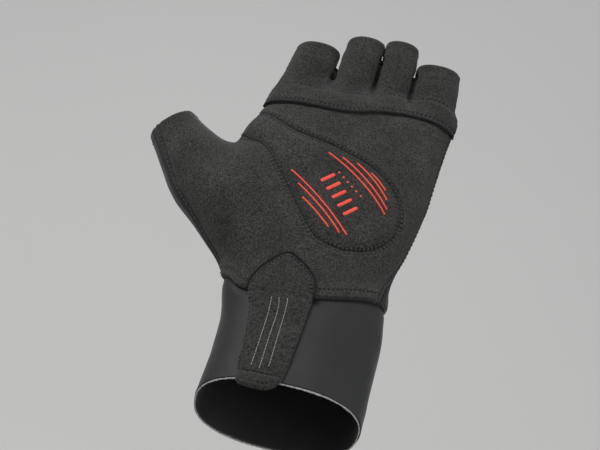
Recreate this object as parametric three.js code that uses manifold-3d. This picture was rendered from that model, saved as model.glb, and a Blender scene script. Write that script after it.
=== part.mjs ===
// A fingerless cycling glove for the left hand, as worn: palm towards -Y, thumb towards -X, fingers up +Z.
// The origin is the centre of the wrist opening. Lengths are millimetres.
// The hand's form is a union of lofts (cuff and palm, thumb, four finger stalls). The form less the same
// form drawn in by the cloth is the hollow glove, which the seam lines then cut into its panels.

import * as THREE from "three";
import { mergeVertices } from "three/addons/utils/BufferGeometryUtils.js";
import Module from "manifold-3d";

const wasm = await Module();
wasm.setup();

// Driving sizes
const CUFF_LENGTH = 64; // wrist opening to palm seam
const CUFF_WIDTH = 76;
const CUFF_DEPTH = 52;
const CUFF_TILT = 17; // degrees the forearm leans towards the palm side
const PALM_LENGTH = 114; // palm seam to finger crotches
const PALM_WIDTH = 94;
const PALM_DEPTH = 34;
const PALM_SETBACK = 9.3; // palm mid-plane behind the wrist opening's centre
const THUMB_LENGTH = 88; // root inside the palm to hem
const THUMB_WIDTH = 24;
const THUMB_DEPTH = 23;
const THUMB_ANGLE = 44; // degrees away from the fingers
const FINGER_LENGTH = 26; // crotch to hem of the longest stall
const FINGER_WIDTH = 22;
const FINGER_DEPTH = 21;
const CLOTH = 1.4; // wall of every panel
const PAD_RISE = 0.6; // how far the padded panel stands above the palm
const HEM_RISE = 1.4; // how far the folded hem of the finger panel stands above the palm
const HEM_WIDTH = 12; // height of that folded hem
const TAB_LENGTH = 69;
const TAB_WIDTH = 26;
const TAB_THICKNESS = 2;
const TAB_OVERHANG = 4.4; // how far the tab's foot hangs past the cuff's front edge
const EDGING_HEIGHT = 1.2; // pale raw edge round the wrist opening
const SEAM_GAP = 0.3; // clearance between neighbouring pieces

// Sections of the cuff, as shares of its length, width and depth: reach to the thumb side (radial) and
// the little-finger side (ulnar), half depths, share of the setback and of the tilt.
const CUFF_SECTIONS = [
  { along: 0.0, radial: 0.503, ulnar: 0.475, palm: 0.5, back: 0.5, setback: 0.0, tilt: 1.0 },
  { along: 0.33, radial: 0.48, ulnar: 0.495, palm: 0.48, back: 0.49, setback: 0.45, tilt: 0.75 },
  { along: 0.67, radial: 0.477, ulnar: 0.507, palm: 0.45, back: 0.47, setback: 0.8, tilt: 0.35 },
  { along: 0.95, radial: 0.52, ulnar: 0.494, palm: 0.42, back: 0.44, setback: 1.0, tilt: 0.0 },
];

// Sections of the palm, as shares of its length, width and depth. Hollow is how far the palm dips
// between the mound at the thumb's root and the one below the little finger.
const PALM_SECTIONS = [
  { along: 0.12, radial: 0.455, ulnar: 0.402, palm: 0.58, back: 0.58, hollow: 0.0 },
  { along: 0.27, radial: 0.47, ulnar: 0.447, palm: 0.58, back: 0.54, hollow: 0.03 },
  { along: 0.45, radial: 0.5, ulnar: 0.495, palm: 0.56, back: 0.5, hollow: 0.1 },
  { along: 0.62, radial: 0.515, ulnar: 0.522, palm: 0.52, back: 0.47, hollow: 0.1 },
  { along: 0.77, radial: 0.44, ulnar: 0.543, palm: 0.45, back: 0.42, hollow: 0.06 },
  { along: 0.86, radial: 0.41, ulnar: 0.56, palm: 0.37, back: 0.35, hollow: 0.0 },
  { along: 0.94, radial: 0.39, ulnar: 0.56, palm: 0.26, back: 0.25, hollow: 0.0 },
  { along: 1.0, radial: 0.34, ulnar: 0.51, palm: 0.13, back: 0.13, hollow: 0.0 },
];
const DIP_AT = 0.12; // where across a section the palm dips most, as a share of its half width
const DIP_SPREAD = 0.42;

// Sections of the thumb from its root to its hem, as shares of its length, width and depth.
const THUMB_SECTIONS = [
  { along: 0.0, outer: 0.6, web: 1.5, palm: 0.5, back: 0.4 },
  { along: 0.22, outer: 0.7, web: 1.9, palm: 0.78, back: 0.55 },
  { along: 0.45, outer: 0.73, web: 2.0, palm: 0.86, back: 0.6 },
  { along: 0.58, outer: 0.78, web: 1.6, palm: 0.79, back: 0.58 },
  { along: 0.65, outer: 0.77, web: 1.13, palm: 0.72, back: 0.56 },
  { along: 0.71, outer: 0.74, web: 0.87, palm: 0.66, back: 0.54 },
  { along: 0.77, outer: 0.69, web: 0.7, palm: 0.62, back: 0.52 },
  { along: 0.88, outer: 0.6, web: 0.57, palm: 0.55, back: 0.48 },
  { along: 1.0, outer: 0.51, web: 0.48, palm: 0.49, back: 0.46 },
];
// The middle of the thumb's hem, as shares of the palm's width and length
const THUMB_HEM = { across: -0.874, up: 0.611 };

// Finger stalls: root and hem across the palm as shares of its width, the rest as shares of the finger sizes.
const FINGERS = [
  { name: "index", root: -0.295, hem: -0.222, length: 0.58, width: 1.02, depth: 1.0 },
  { name: "middle", root: -0.027, hem: 0.021, length: 0.93, width: 0.92, depth: 1.0 },
  { name: "ring", root: 0.2, hem: 0.21, length: 1.02, width: 0.86, depth: 0.97 },
  { name: "little", root: 0.425, hem: 0.424, length: 0.69, width: 1.05, depth: 0.95 },
];
const FINGER_SECTIONS = [
  { along: 0.0, girth: 0.74 },
  { along: 0.4, girth: 0.95 },
  { along: 0.7, girth: 1.03 },
  { along: 1.0, girth: 0.98 },
];
const FINGER_ROOT = 22; // depth of a stall's root inside the palm

// Seam lines in the front view, as shares of the palm's width and length from the palm seam's level
const PALM_SEAM = [
  { across: -0.6, up: 0.0 },
  { across: -0.42, up: -0.02 },
  { across: -0.32, up: -0.088 },
  { across: -0.12, up: -0.105 },
  { across: 0.12, up: -0.066 },
  { across: 0.35, up: -0.01 },
  { across: 0.6, up: 0.0 },
];
const HEM_LINE = [
  { across: -0.7, up: 0.8 },
  { across: -0.31, up: 0.795 },
  { across: -0.01, up: 0.8 },
  { across: 0.18, up: 0.843 },
  { across: 0.38, up: 0.868 },
  { across: 0.54, up: 0.855 },
  { across: 0.8, up: 0.82 },
];
const PAD_OUTLINE = [
  { across: -0.62, up: 0.79 },
  { across: -0.43, up: 0.735 },
  { across: -0.255, up: 0.655 },
  { across: -0.03, up: 0.617 },
  { across: 0.165, up: 0.565 },
  { across: 0.3, up: 0.482 },
  { across: 0.365, up: 0.375 },
  { across: 0.345, up: 0.27 },
  { across: 0.25, up: 0.185 },
  { across: 0.12, up: 0.152 },
  { across: -0.02, up: 0.18 },
  { across: -0.155, up: 0.31 },
  { across: -0.31, up: 0.48 },
  { across: -0.395, up: 0.56 },
  { across: -0.47, up: 0.59 },
  { across: -0.54, up: 0.64 },
];

// The pull tab's outline, across as a share of its width and up as a share of its length from its foot
const TAB_CENTRE = -0.125; // share of the palm's width
const TAB_OUTLINE = [
  { across: -0.02, up: 1.0 },
  { across: -0.28, up: 0.92 },
  { across: -0.5, up: 0.79 },
  { across: -0.53, up: 0.7 },
  { across: -0.45, up: 0.53 },
  { across: -0.41, up: 0.32 },
  { across: -0.41, up: 0.1 },
  { across: -0.36, up: 0.02 },
  { across: -0.2, up: 0.0 },
  { across: 0.14, up: 0.0 },
  { across: 0.33, up: 0.07 },
  { across: 0.42, up: 0.26 },
  { across: 0.5, up: 0.5 },
  { across: 0.55, up: 0.75 },
  { across: 0.48, up: 0.86 },
  { across: 0.2, up: 0.96 },
];

// How far the side seams run in front of the form's mid-plane: everywhere, and further along the thumb's
// outer side and on the little-finger side of the wrist
const SIDE_SEAM = 1.0;
const THUMB_SEAM = 6.0;
const WRIST_SEAM = 11.0;
// Where those two steps forward begin and end, as shares of the thumb's length and width and the palm's
const THUMB_STEP = { along: [0.1, 0.6], web: [-0.4, 0.2] };
const WRIST_STEP = { up: [-0.05, 0.26], across: [0.15, 0.3] };

// Exponents of the sections: 2 is an ellipse, and more is squarer
const BODY_EXPONENT = 2.4;
const THUMB_EXPONENT = 2.1;
const FINGER_EXPONENT = 2.2;

// Mesh resolution
const BODY_RINGS = 20;
const BODY_AROUND = 40;
const THUMB_RINGS = 12;
const THUMB_AROUND = 26;
const FINGER_RINGS = 6;
const FINGER_AROUND = 20;
const SEAM_CELLS = { across: 26, up: 30 };
const LINE_STEPS = 3; // between two points of an outline
const FAR = CUFF_LENGTH + PALM_LENGTH + 2 * FINGER_LENGTH; // beyond the glove on every side, for cutters
const OPEN_END = FINGER_LENGTH / 2; // how far a hollow runs past its hem

const radians = THREE.MathUtils.degToRad;
const smoothstep = THREE.MathUtils.smoothstep;

// The row at t of a table, every column on a smooth curve through the rows
function rowAt(rows, t) {
  const last = rows.length - 1;
  let i = 0;
  while (i < last - 1 && rows[i + 1].along <= t) i++;
  const [a, b] = [rows[i], rows[i + 1]];
  const span = b.along - a.along;
  const u = (t - a.along) / span;
  const slope = (k, column) => {
    const [p, q] = [rows[Math.max(k - 1, 0)], rows[Math.min(k + 1, last)]];
    return ((q[column] - p[column]) / (q.along - p.along)) * span;
  };
  const made = {};
  for (const column of Object.keys(a)) {
    const [v, w, dv, dw] = [a[column], b[column], slope(i, column), slope(i + 1, column)];
    made[column] =
      v * (2 * u ** 3 - 3 * u ** 2 + 1) +
      dv * (u ** 3 - 2 * u ** 2 + u) +
      w * (3 * u ** 2 - 2 * u ** 3) +
      dw * (u ** 3 - u ** 2);
  }
  return made;
}

// The rows of a table taken at evenly spaced places
function resample(rows, count) {
  const [first, last] = [rows[0].along, rows.at(-1).along];
  return Array.from({ length: count }, (_, i) => rowAt(rows, first + ((last - first) * i) / (count - 1)));
}

// One closed section in its own plane: a squared ellipse with four half sizes, dipped in its middle
function sectionPoints(size, exponent, around) {
  const bent = (v) => Math.sign(v) * Math.abs(v) ** (2 / exponent);
  return Array.from({ length: around }, (_, i) => {
    const angle = (2 * Math.PI * i) / around;
    const x = bent(Math.cos(angle));
    const y = bent(Math.sin(angle));
    const dip = 1 - (size.hollow ?? 0) * Math.exp(-(((x - DIP_AT) / DIP_SPREAD) ** 2));
    return [x * (x < 0 ? size.left : size.right), y * (y < 0 ? size.palm * dip : size.back)];
  });
}

// A closed body through rings of points, each ring one section, with a fan at either end
function loft(rings) {
  const around = rings[0].length;
  const centre = (ring) =>
    ring.reduce((sum, p) => sum.add(p), new THREE.Vector3()).divideScalar(around);
  const points = [...rings.flat(), centre(rings[0]), centre(rings.at(-1))];
  const [foot, head] = [points.length - 2, points.length - 1];
  const index = [];
  for (let j = 0; j < around; j++) {
    const k = (j + 1) % around;
    for (let i = 0; i < rings.length - 1; i++) {
      const [a, b] = [i * around + j, i * around + k];
      index.push(a, b, b + around, a, b + around, a + around);
    }
    const top = (rings.length - 1) * around;
    index.push(foot, k, j, head, top + j, top + k);
  }
  return new THREE.BufferGeometry().setFromPoints(points).setIndex(index);
}

// A three.js geometry as a solid that can be cut and joined
function solid(geometry) {
  const bare = geometry.clone();
  bare.deleteAttribute("normal");
  bare.deleteAttribute("uv");
  const merged = mergeVertices(bare, 1e-4);
  return new wasm.Manifold(
    new wasm.Mesh({
      numProp: 3,
      vertProperties: new Float32Array(merged.attributes.position.array),
      triVerts: new Uint32Array(merged.index.array),
    }),
  );
}

// A cut solid as a three.js geometry
function geometryOf(made) {
  const mesh = made.getMesh();
  const geometry = new THREE.BufferGeometry();
  geometry.setAttribute("position", new THREE.BufferAttribute(new Float32Array(mesh.vertProperties), 3));
  geometry.setIndex(Array.from(mesh.triVerts));
  const flat = geometry.toNonIndexed();
  flat.computeVertexNormals();
  return flat;
}

// The cuff and palm in one table, in millimetres
const BODY_TABLE = [
  ...CUFF_SECTIONS.map((s) => ({
    along: s.along * CUFF_LENGTH,
    left: s.radial * CUFF_WIDTH,
    right: s.ulnar * CUFF_WIDTH,
    palm: s.palm * CUFF_DEPTH,
    back: s.back * CUFF_DEPTH,
    setback: s.setback * PALM_SETBACK,
    tilt: s.tilt * CUFF_TILT,
    hollow: 0,
  })),
  ...PALM_SECTIONS.map((s) => ({
    along: CUFF_LENGTH + s.along * PALM_LENGTH,
    left: s.radial * PALM_WIDTH,
    right: s.ulnar * PALM_WIDTH,
    palm: s.palm * PALM_DEPTH,
    back: s.back * PALM_DEPTH,
    setback: PALM_SETBACK,
    tilt: 0,
    hollow: s.hollow,
  })),
];

// The cuff and palm, drawn out by `out` and run `past` beyond the wrist opening
function bodyForm(out, past) {
  const rows = resample(BODY_TABLE, BODY_RINGS);
  rows.at(-1).along += out;
  const opening = { ...rows[0] };
  const drop = past * Math.tan(radians(opening.tilt));
  rows.unshift({ ...opening, along: opening.along - past, setback: opening.setback - drop });
  const rings = (past > 0 ? rows : rows.slice(1)).map((row) => {
    const size = {
      left: row.left + out,
      right: row.right + out,
      palm: row.palm + out,
      back: row.back + out,
      hollow: row.hollow,
    };
    const lean = Math.tan(radians(row.tilt));
    return sectionPoints(size, BODY_EXPONENT, BODY_AROUND).map(
      ([x, y]) => new THREE.Vector3(x, row.setback + y, row.along - y * lean),
    );
  });
  return solid(loft(rings));
}

// The thumb's own axes: along it, towards the web, and its hem's middle
const thumbAlong = new THREE.Vector3(-Math.sin(radians(THUMB_ANGLE)), 0, Math.cos(radians(THUMB_ANGLE)));
const thumbWeb = new THREE.Vector3(Math.cos(radians(THUMB_ANGLE)), 0, Math.sin(radians(THUMB_ANGLE)));
const thumbHem = new THREE.Vector3(
  THUMB_HEM.across * PALM_WIDTH,
  PALM_SETBACK,
  CUFF_LENGTH + THUMB_HEM.up * PALM_LENGTH,
);

function thumbForm(out, past) {
  const rows = resample(THUMB_SECTIONS, THUMB_RINGS);
  if (past > 0) rows.push({ ...rows.at(-1), along: 1 + past / THUMB_LENGTH });
  const rings = rows.map((row) => {
    const size = {
      left: row.outer * THUMB_WIDTH + out,
      right: row.web * THUMB_WIDTH + out,
      palm: row.palm * THUMB_DEPTH + out,
      back: row.back * THUMB_DEPTH + out,
    };
    const middle = thumbHem.clone().addScaledVector(thumbAlong, (row.along - 1) * THUMB_LENGTH);
    return sectionPoints(size, THUMB_EXPONENT, THUMB_AROUND).map(([w, y]) =>
      middle.clone().addScaledVector(thumbWeb, w).add(new THREE.Vector3(0, y, 0)),
    );
  });
  return solid(loft(rings));
}

function fingerForm(finger, out, past) {
  const crotch = CUFF_LENGTH + PALM_LENGTH;
  const root = new THREE.Vector3(finger.root * PALM_WIDTH, PALM_SETBACK, crotch - FINGER_ROOT);
  const hem = new THREE.Vector3(
    finger.hem * PALM_WIDTH,
    PALM_SETBACK,
    crotch + finger.length * FINGER_LENGTH,
  );
  const rows = resample(FINGER_SECTIONS, FINGER_RINGS);
  if (past > 0) rows.push({ ...rows.at(-1), along: 1 + past / (hem.z - root.z) });
  const rings = rows.map((row) => {
    const width = (row.girth * finger.width * FINGER_WIDTH) / 2 + out;
    const depth = (row.girth * finger.depth * FINGER_DEPTH) / 2 + out;
    const size = { left: width, right: width, palm: depth, back: depth };
    const middle = root.clone().lerp(hem, row.along);
    return sectionPoints(size, FINGER_EXPONENT, FINGER_AROUND).map(([x, y]) =>
      middle.clone().add(new THREE.Vector3(x, y, 0)),
    );
  });
  return solid(loft(rings));
}

// The whole hand form, drawn out (or in, when negative) by `out`
function handForm(out, past = 0) {
  return FINGERS.map((finger) => fingerForm(finger, out, past)).reduce(
    (sum, stall) => sum.add(stall),
    bodyForm(out, past).add(thumbForm(out, past)),
  );
}

// A front-view outline in shares made a smooth line in millimetres
function seamLine(rows, closed = false) {
  const points = rows.map(
    (row) => new THREE.Vector2(row.across * PALM_WIDTH, CUFF_LENGTH + row.up * PALM_LENGTH),
  );
  return smoothLine(points, closed);
}

function smoothLine(points, closed) {
  const flat = points.map((p) => new THREE.Vector3(p.x, p.y, 0));
  const curve = new THREE.CatmullRomCurve3(flat, closed, "centripetal");
  return curve.getPoints(points.length * LINE_STEPS).map((p) => new THREE.Vector2(p.x, p.y));
}

// The outline moved outwards by `out`, for an outline that runs anticlockwise or clockwise
function drawnOut(outline, out) {
  const turn = THREE.ShapeUtils.isClockWise(outline) ? -1 : 1;
  return outline.map((p, i) => {
    const before = outline[(i - 1 + outline.length) % outline.length];
    const after = outline[(i + 1) % outline.length];
    const run = after.clone().sub(before).normalize();
    return new THREE.Vector2(p.x + turn * run.y * out, p.y - turn * run.x * out);
  });
}

// A prism through the glove from front to back: outline x stays x, outline y becomes z
function prism(outline, near = -FAR, far = FAR) {
  const shape = new THREE.Shape(outline);
  const geometry = new THREE.ExtrudeGeometry(shape, { depth: far - near, bevelEnabled: false });
  geometry.rotateX(Math.PI / 2).translate(0, far, 0);
  return solid(geometry);
}

// Everything above a seam line, shifted up by `shift`
function above(line, shift) {
  const raised = line.map((p) => new THREE.Vector2(p.x, p.y + shift));
  const [left, right] = [raised[0], raised.at(-1)];
  return prism([
    ...raised,
    new THREE.Vector2(FAR, right.y),
    new THREE.Vector2(FAR, 2 * FAR),
    new THREE.Vector2(-FAR, 2 * FAR),
    new THREE.Vector2(-FAR, left.y),
  ]);
}

// Where the side seams lie: just in front of the mid-plane, further forward along the thumb's outer side
// and on the little-finger side of the wrist
function sideSeam(x, z) {
  const fromHem = new THREE.Vector3(x, 0, z).sub(thumbHem).setY(0);
  const along = 1 + fromHem.dot(thumbAlong) / THUMB_LENGTH;
  const web = fromHem.dot(thumbWeb) / THUMB_WIDTH;
  const thumb = smoothstep(along, ...THUMB_STEP.along) * (1 - smoothstep(web, ...THUMB_STEP.web));
  const up = (z - CUFF_LENGTH) / PALM_LENGTH;
  const wrist = (1 - smoothstep(up, ...WRIST_STEP.up)) * smoothstep(x / PALM_WIDTH, ...WRIST_STEP.across);
  return PALM_SETBACK - SIDE_SEAM - THUMB_SEAM * thumb - WRIST_SEAM * wrist;
}

// All that lies on the palm side of the side seams, with its face moved back by `shift`
function palmSide(shift) {
  const [left, right] = [-PALM_WIDTH - THUMB_WIDTH, PALM_WIDTH];
  const [low, high] = [-OPEN_END, FAR];
  const rings = Array.from({ length: SEAM_CELLS.up + 1 }, (_, i) => {
    const z = low + ((high - low) * i) / SEAM_CELLS.up;
    const edge = Array.from({ length: SEAM_CELLS.across + 1 }, (_, j) => {
      const x = left + ((right - left) * j) / SEAM_CELLS.across;
      return new THREE.Vector3(x, sideSeam(x, z) + shift, z);
    });
    return [new THREE.Vector3(left, -FAR, z), new THREE.Vector3(right, -FAR, z), ...edge.reverse()];
  });
  return solid(loft(rings));
}

// The hollow glove and its cut lines
const form = handForm(0);
const hollow = handForm(-CLOTH, OPEN_END);
const shell = form.subtract(hollow);
const palmSeam = seamLine(PALM_SEAM);
const hemLine = seamLine(HEM_LINE);
const padOutline = seamLine(PAD_OUTLINE);
const abovePalmSeam = above(palmSeam, SEAM_GAP / 2);
const front = palmSide(-SEAM_GAP / 2);
const handShell = shell.intersect(abovePalmSeam);
const frontShell = handShell.intersect(front);

function palmPanel() {
  return frontShell
    .subtract(above(hemLine, -SEAM_GAP / 2))
    .subtract(prism(drawnOut(padOutline, SEAM_GAP)));
}

function padPanel() {
  const raised = handForm(PAD_RISE).subtract(hollow).intersect(front);
  return raised.intersect(prism(padOutline)).subtract(above(hemLine, -SEAM_GAP / 2));
}

function fingerPanel() {
  const aboveHem = above(hemLine, SEAM_GAP / 2);
  const folded = handForm(HEM_RISE).subtract(hollow).intersect(front).intersect(aboveHem);
  return frontShell.intersect(aboveHem).add(folded.subtract(above(hemLine, HEM_WIDTH)));
}

function backPanel() {
  return handShell.subtract(palmSide(SEAM_GAP / 2));
}

// The cuff stops short of its pale raw edge
function openingSlice(low, high) {
  const lean = Math.tan(radians(CUFF_TILT));
  const corner = (y, z) => new THREE.Vector3(0, y, z - y * lean);
  const ring = (x) =>
    [corner(-FAR, low), corner(FAR, low), corner(FAR, high), corner(-FAR, high)].map((p) => p.setX(x));
  return solid(loft([ring(-FAR), ring(FAR)]));
}

function cuff() {
  return shell.subtract(above(palmSeam, -SEAM_GAP / 2)).subtract(openingSlice(-FAR, EDGING_HEIGHT));
}

function edging() {
  return shell.intersect(openingSlice(-FAR, EDGING_HEIGHT - SEAM_GAP));
}

function pullTab() {
  const middle = TAB_CENTRE * PALM_WIDTH;
  const foot = (CUFF_DEPTH / 2) * Math.tan(radians(CUFF_TILT)) - TAB_OVERHANG;
  const points = TAB_OUTLINE.map(
    (row) => new THREE.Vector2(middle + row.across * TAB_WIDTH, foot + row.up * TAB_LENGTH),
  );
  const under = handForm(SEAM_GAP, OPEN_END);
  const over = handForm(SEAM_GAP + TAB_THICKNESS, OPEN_END);
  return over.subtract(under).intersect(prism(smoothLine(points, true), -FAR, 0));
}

const SUEDE = { color: 0x2b2a2a, roughness: 0.95 };
const PIECES = {
  cuff: { make: cuff, color: 0x1d1e20, roughness: 0.8 },
  cuff_edging: { make: edging, color: 0x8d9192, roughness: 0.9 },
  palm_panel: { make: palmPanel, ...SUEDE },
  pad_panel: { make: padPanel, ...SUEDE },
  finger_panel: { make: fingerPanel, ...SUEDE },
  back_panel: { make: backPanel, color: 0x1d1e20, roughness: 0.8 },
  pull_tab: { make: pullTab, ...SUEDE },
};

const glove = new THREE.Group();
for (const [name, { make, color, roughness }] of Object.entries(PIECES)) {
  const material = new THREE.MeshStandardMaterial({ color, roughness, metalness: 0 });
  const mesh = new THREE.Mesh(geometryOf(make()), material);
  mesh.name = name;
  glove.add(mesh);
}

export default glove;
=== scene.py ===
"""A fingerless cycling glove, held up in its worn shape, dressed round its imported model.

The glove's form is a distance in millimetres to a union of lofts: the cuff and palm, the thumb and four
finger stalls. Each panel is a grid of points on that form between its seams. Folds, puckers and seams are
then heights above the form, and the grid gets the thickness of its cloth.
"""

import functools
import math

import bpy
import numpy as np
from mathutils import Matrix, Vector


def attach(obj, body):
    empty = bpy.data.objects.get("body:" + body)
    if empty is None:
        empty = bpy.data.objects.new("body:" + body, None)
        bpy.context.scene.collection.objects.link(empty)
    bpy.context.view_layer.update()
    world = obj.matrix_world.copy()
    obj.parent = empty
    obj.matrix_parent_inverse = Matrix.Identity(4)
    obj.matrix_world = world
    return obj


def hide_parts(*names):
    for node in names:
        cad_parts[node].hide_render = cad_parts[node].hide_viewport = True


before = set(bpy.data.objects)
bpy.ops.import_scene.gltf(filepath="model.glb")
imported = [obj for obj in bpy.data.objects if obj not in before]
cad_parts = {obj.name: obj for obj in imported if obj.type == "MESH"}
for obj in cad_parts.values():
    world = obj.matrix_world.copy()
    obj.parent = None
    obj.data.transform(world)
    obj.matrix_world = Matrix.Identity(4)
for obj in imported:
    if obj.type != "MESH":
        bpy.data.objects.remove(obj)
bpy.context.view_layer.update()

bl_info = {
    "name": "Cycling Glove",
    "version": (1, 0, 0),
    "blender": (4, 5, 0),
    "location": "View3D > Sidebar > Glove",
    "description": "Builds a fingerless cycling glove in its worn shape",
    "category": "Object",
}

MM = 0.001

# Driving sizes in millimetres, the same as in the imported model
CUFF_LENGTH = 64
CUFF_WIDTH = 76
CUFF_DEPTH = 52
CUFF_LEAN = math.tan(math.radians(17))
PALM_LENGTH = 114
PALM_WIDTH = 94
PALM_DEPTH = 34
PALM_SETBACK = 9.3
THUMB_LENGTH = 88
THUMB_WIDTH = 24
THUMB_DEPTH = 23
THUMB_ANGLE = math.radians(44)
FINGER_LENGTH = 26
FINGER_WIDTH = 22
FINGER_DEPTH = 21
FINGER_ROOT = 22
HEM_WIDTH = 12
TAB_LENGTH = 69
TAB_WIDTH = 26
TAB_OVERHANG = 4.4
TAB_CENTRE = -0.125 * PALM_WIDTH
TAB_FOOT = CUFF_DEPTH / 2 * CUFF_LEAN - TAB_OVERHANG
CROTCH = CUFF_LENGTH + PALM_LENGTH

# Exponents of the sections: 2 is an ellipse, and more is squarer
BODY_EXPONENT = 2.4
THUMB_EXPONENT = 2.1
FINGER_EXPONENT = 2.2

# Sections of the cuff, as shares of its length, width and depth, of the setback and of the lean
CUFF_COLUMNS = ("along", "radial", "ulnar", "palm", "back", "setback", "tilt")
CUFF_SECTIONS = (
    (0.0, 0.503, 0.475, 0.5, 0.5, 0.0, 1.0),
    (0.33, 0.48, 0.495, 0.48, 0.49, 0.45, 0.75),
    (0.67, 0.477, 0.507, 0.45, 0.47, 0.8, 0.35),
    (0.95, 0.52, 0.494, 0.42, 0.44, 1.0, 0.0),
)

# Sections of the palm, as shares of its length, width and depth. Hollow is how far the palm dips.
PALM_COLUMNS = ("along", "radial", "ulnar", "palm", "back", "hollow")
PALM_SECTIONS = (
    (0.12, 0.455, 0.402, 0.58, 0.58, 0.0),
    (0.27, 0.47, 0.447, 0.58, 0.54, 0.03),
    (0.45, 0.5, 0.495, 0.56, 0.5, 0.1),
    (0.62, 0.515, 0.522, 0.52, 0.47, 0.1),
    (0.77, 0.44, 0.543, 0.45, 0.42, 0.06),
    (0.86, 0.41, 0.56, 0.37, 0.35, 0.0),
    (0.94, 0.39, 0.56, 0.26, 0.25, 0.0),
    (1.0, 0.34, 0.51, 0.13, 0.13, 0.0),
)
DIP_AT = 0.12
DIP_SPREAD = 0.42

# Sections of the thumb from its root to its hem, as shares of its length, width and depth
THUMB_COLUMNS = ("along", "outer", "web", "palm", "back")
THUMB_SECTIONS = (
    (0.0, 0.6, 1.5, 0.5, 0.4),
    (0.22, 0.7, 1.9, 0.78, 0.55),
    (0.45, 0.73, 2.0, 0.86, 0.6),
    (0.58, 0.78, 1.6, 0.79, 0.58),
    (0.65, 0.77, 1.13, 0.72, 0.56),
    (0.71, 0.74, 0.87, 0.66, 0.54),
    (0.77, 0.69, 0.7, 0.62, 0.52),
    (0.88, 0.6, 0.57, 0.55, 0.48),
    (1.0, 0.51, 0.48, 0.49, 0.46),
)
THUMB_HEM = (-0.874, 0.611)

# Finger stalls: root and hem across the palm as shares of its width, the rest as shares of the finger sizes
FINGERS = {
    "index": {"root": -0.295, "hem": -0.222, "length": 0.58, "width": 1.02, "depth": 1.0},
    "middle": {"root": -0.027, "hem": 0.021, "length": 0.93, "width": 0.92, "depth": 1.0},
    "ring": {"root": 0.2, "hem": 0.21, "length": 1.02, "width": 0.86, "depth": 0.97},
    "little": {"root": 0.425, "hem": 0.424, "length": 0.69, "width": 1.05, "depth": 0.95},
}
FINGER_COLUMNS = ("along", "girth")
FINGER_SECTIONS = ((0.0, 0.74), (0.4, 0.95), (0.7, 1.03), (1.0, 0.98))

# Seam lines in the front view: across as a share of the palm's width, up as a share of its length
PALM_SEAM = (
    (-0.6, 0.0),
    (-0.42, -0.02),
    (-0.32, -0.088),
    (-0.12, -0.105),
    (0.12, -0.066),
    (0.35, -0.01),
    (0.6, 0.0),
)
HEM_LINE = (
    (-0.7, 0.8),
    (-0.31, 0.795),
    (-0.01, 0.8),
    (0.18, 0.843),
    (0.38, 0.868),
    (0.54, 0.855),
    (0.8, 0.82),
)
PAD_TOP = (
    (-0.62, 0.79),
    (-0.43, 0.735),
    (-0.255, 0.655),
    (-0.03, 0.617),
    (0.165, 0.565),
    (0.3, 0.482),
    (0.365, 0.375),
    (0.345, 0.27),
    (0.25, 0.185),
    (0.12, 0.152),
)
PAD_FOOT = (
    (0.12, 0.152),
    (-0.02, 0.18),
    (-0.155, 0.31),
    (-0.31, 0.48),
    (-0.395, 0.56),
    (-0.47, 0.59),
    (-0.54, 0.64),
)

# The tab's outline, its corners and its three pale lines, in shares of its width and length
TAB_OUTLINE = (
    (-0.02, 1.0),
    (-0.28, 0.92),
    (-0.5, 0.79),
    (-0.53, 0.7),
    (-0.45, 0.53),
    (-0.41, 0.32),
    (-0.41, 0.1),
    (-0.36, 0.02),
    (-0.2, 0.0),
    (0.14, 0.0),
    (0.33, 0.07),
    (0.42, 0.26),
    (0.5, 0.5),
    (0.55, 0.75),
    (0.48, 0.86),
    (0.2, 0.96),
)
TAB_CORNERS = {
    "foot_left": (-0.37, 0.03),
    "foot_right": (0.33, 0.07),
    "left": (-0.52, 0.76),
    "right": (0.52, 0.8),
}
TAB_LINES = (
    ((-0.12, 0.675), (-0.113, 0.563), (-0.14, 0.353), (-0.19, 0.108)),
    ((-0.005, 0.678), (0.029, 0.573), (0.003, 0.421), (-0.055, 0.082)),
    ((0.14, 0.682), (0.152, 0.585), (0.137, 0.467), (0.09, 0.11)),
)

# Where the stitches along the tab's sides end, where its shoulders start and how far up its foot is sewn
TAB_SEWN = 0.13
TAB_SHOULDER = 0.7
TAB_FOOT_ROW = 7.2

# Stitches: the pitch of each kind of row, and how far that row lies beside its seam
STITCH = 2.1
HEM_STITCH = 2.4
BACK_STITCH = 2.5
FOOT_STITCH = 1.9
PALE_STITCH = 1.6
PAD_ROW = 1.1
LEDGE_ROW = 1.7
HEEL_ROW = 3.6
HEM_ROW = 4.0
SIDE_ROW = 1.9
SIDE_HOLES = 1.6
JOIN_ROW = 1.6
TAB_ROW = 1.6

# How much of a row is left unsewn at each end, and how many points two rows start after their seam does
ROW_TRIM = 1.5
OUTER_START = 9
JOIN_START = 18

# How far the side seams run in front of the mid-plane, and where they step forward
SIDE_SEAM = 1.0
THUMB_SEAM = 6.0
WRIST_SEAM = 11.0
THUMB_STEP = {"along": (0.1, 0.6), "web": (-0.4, 0.2)}
WRIST_STEP = {"up": (-0.05, 0.26), "across": (0.15, 0.3)}

# How widely two forms melt into each other where they meet
THUMB_MELT = 6.0
STALL_MELT = 1.2
PALM_MELT = 4.0


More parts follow.
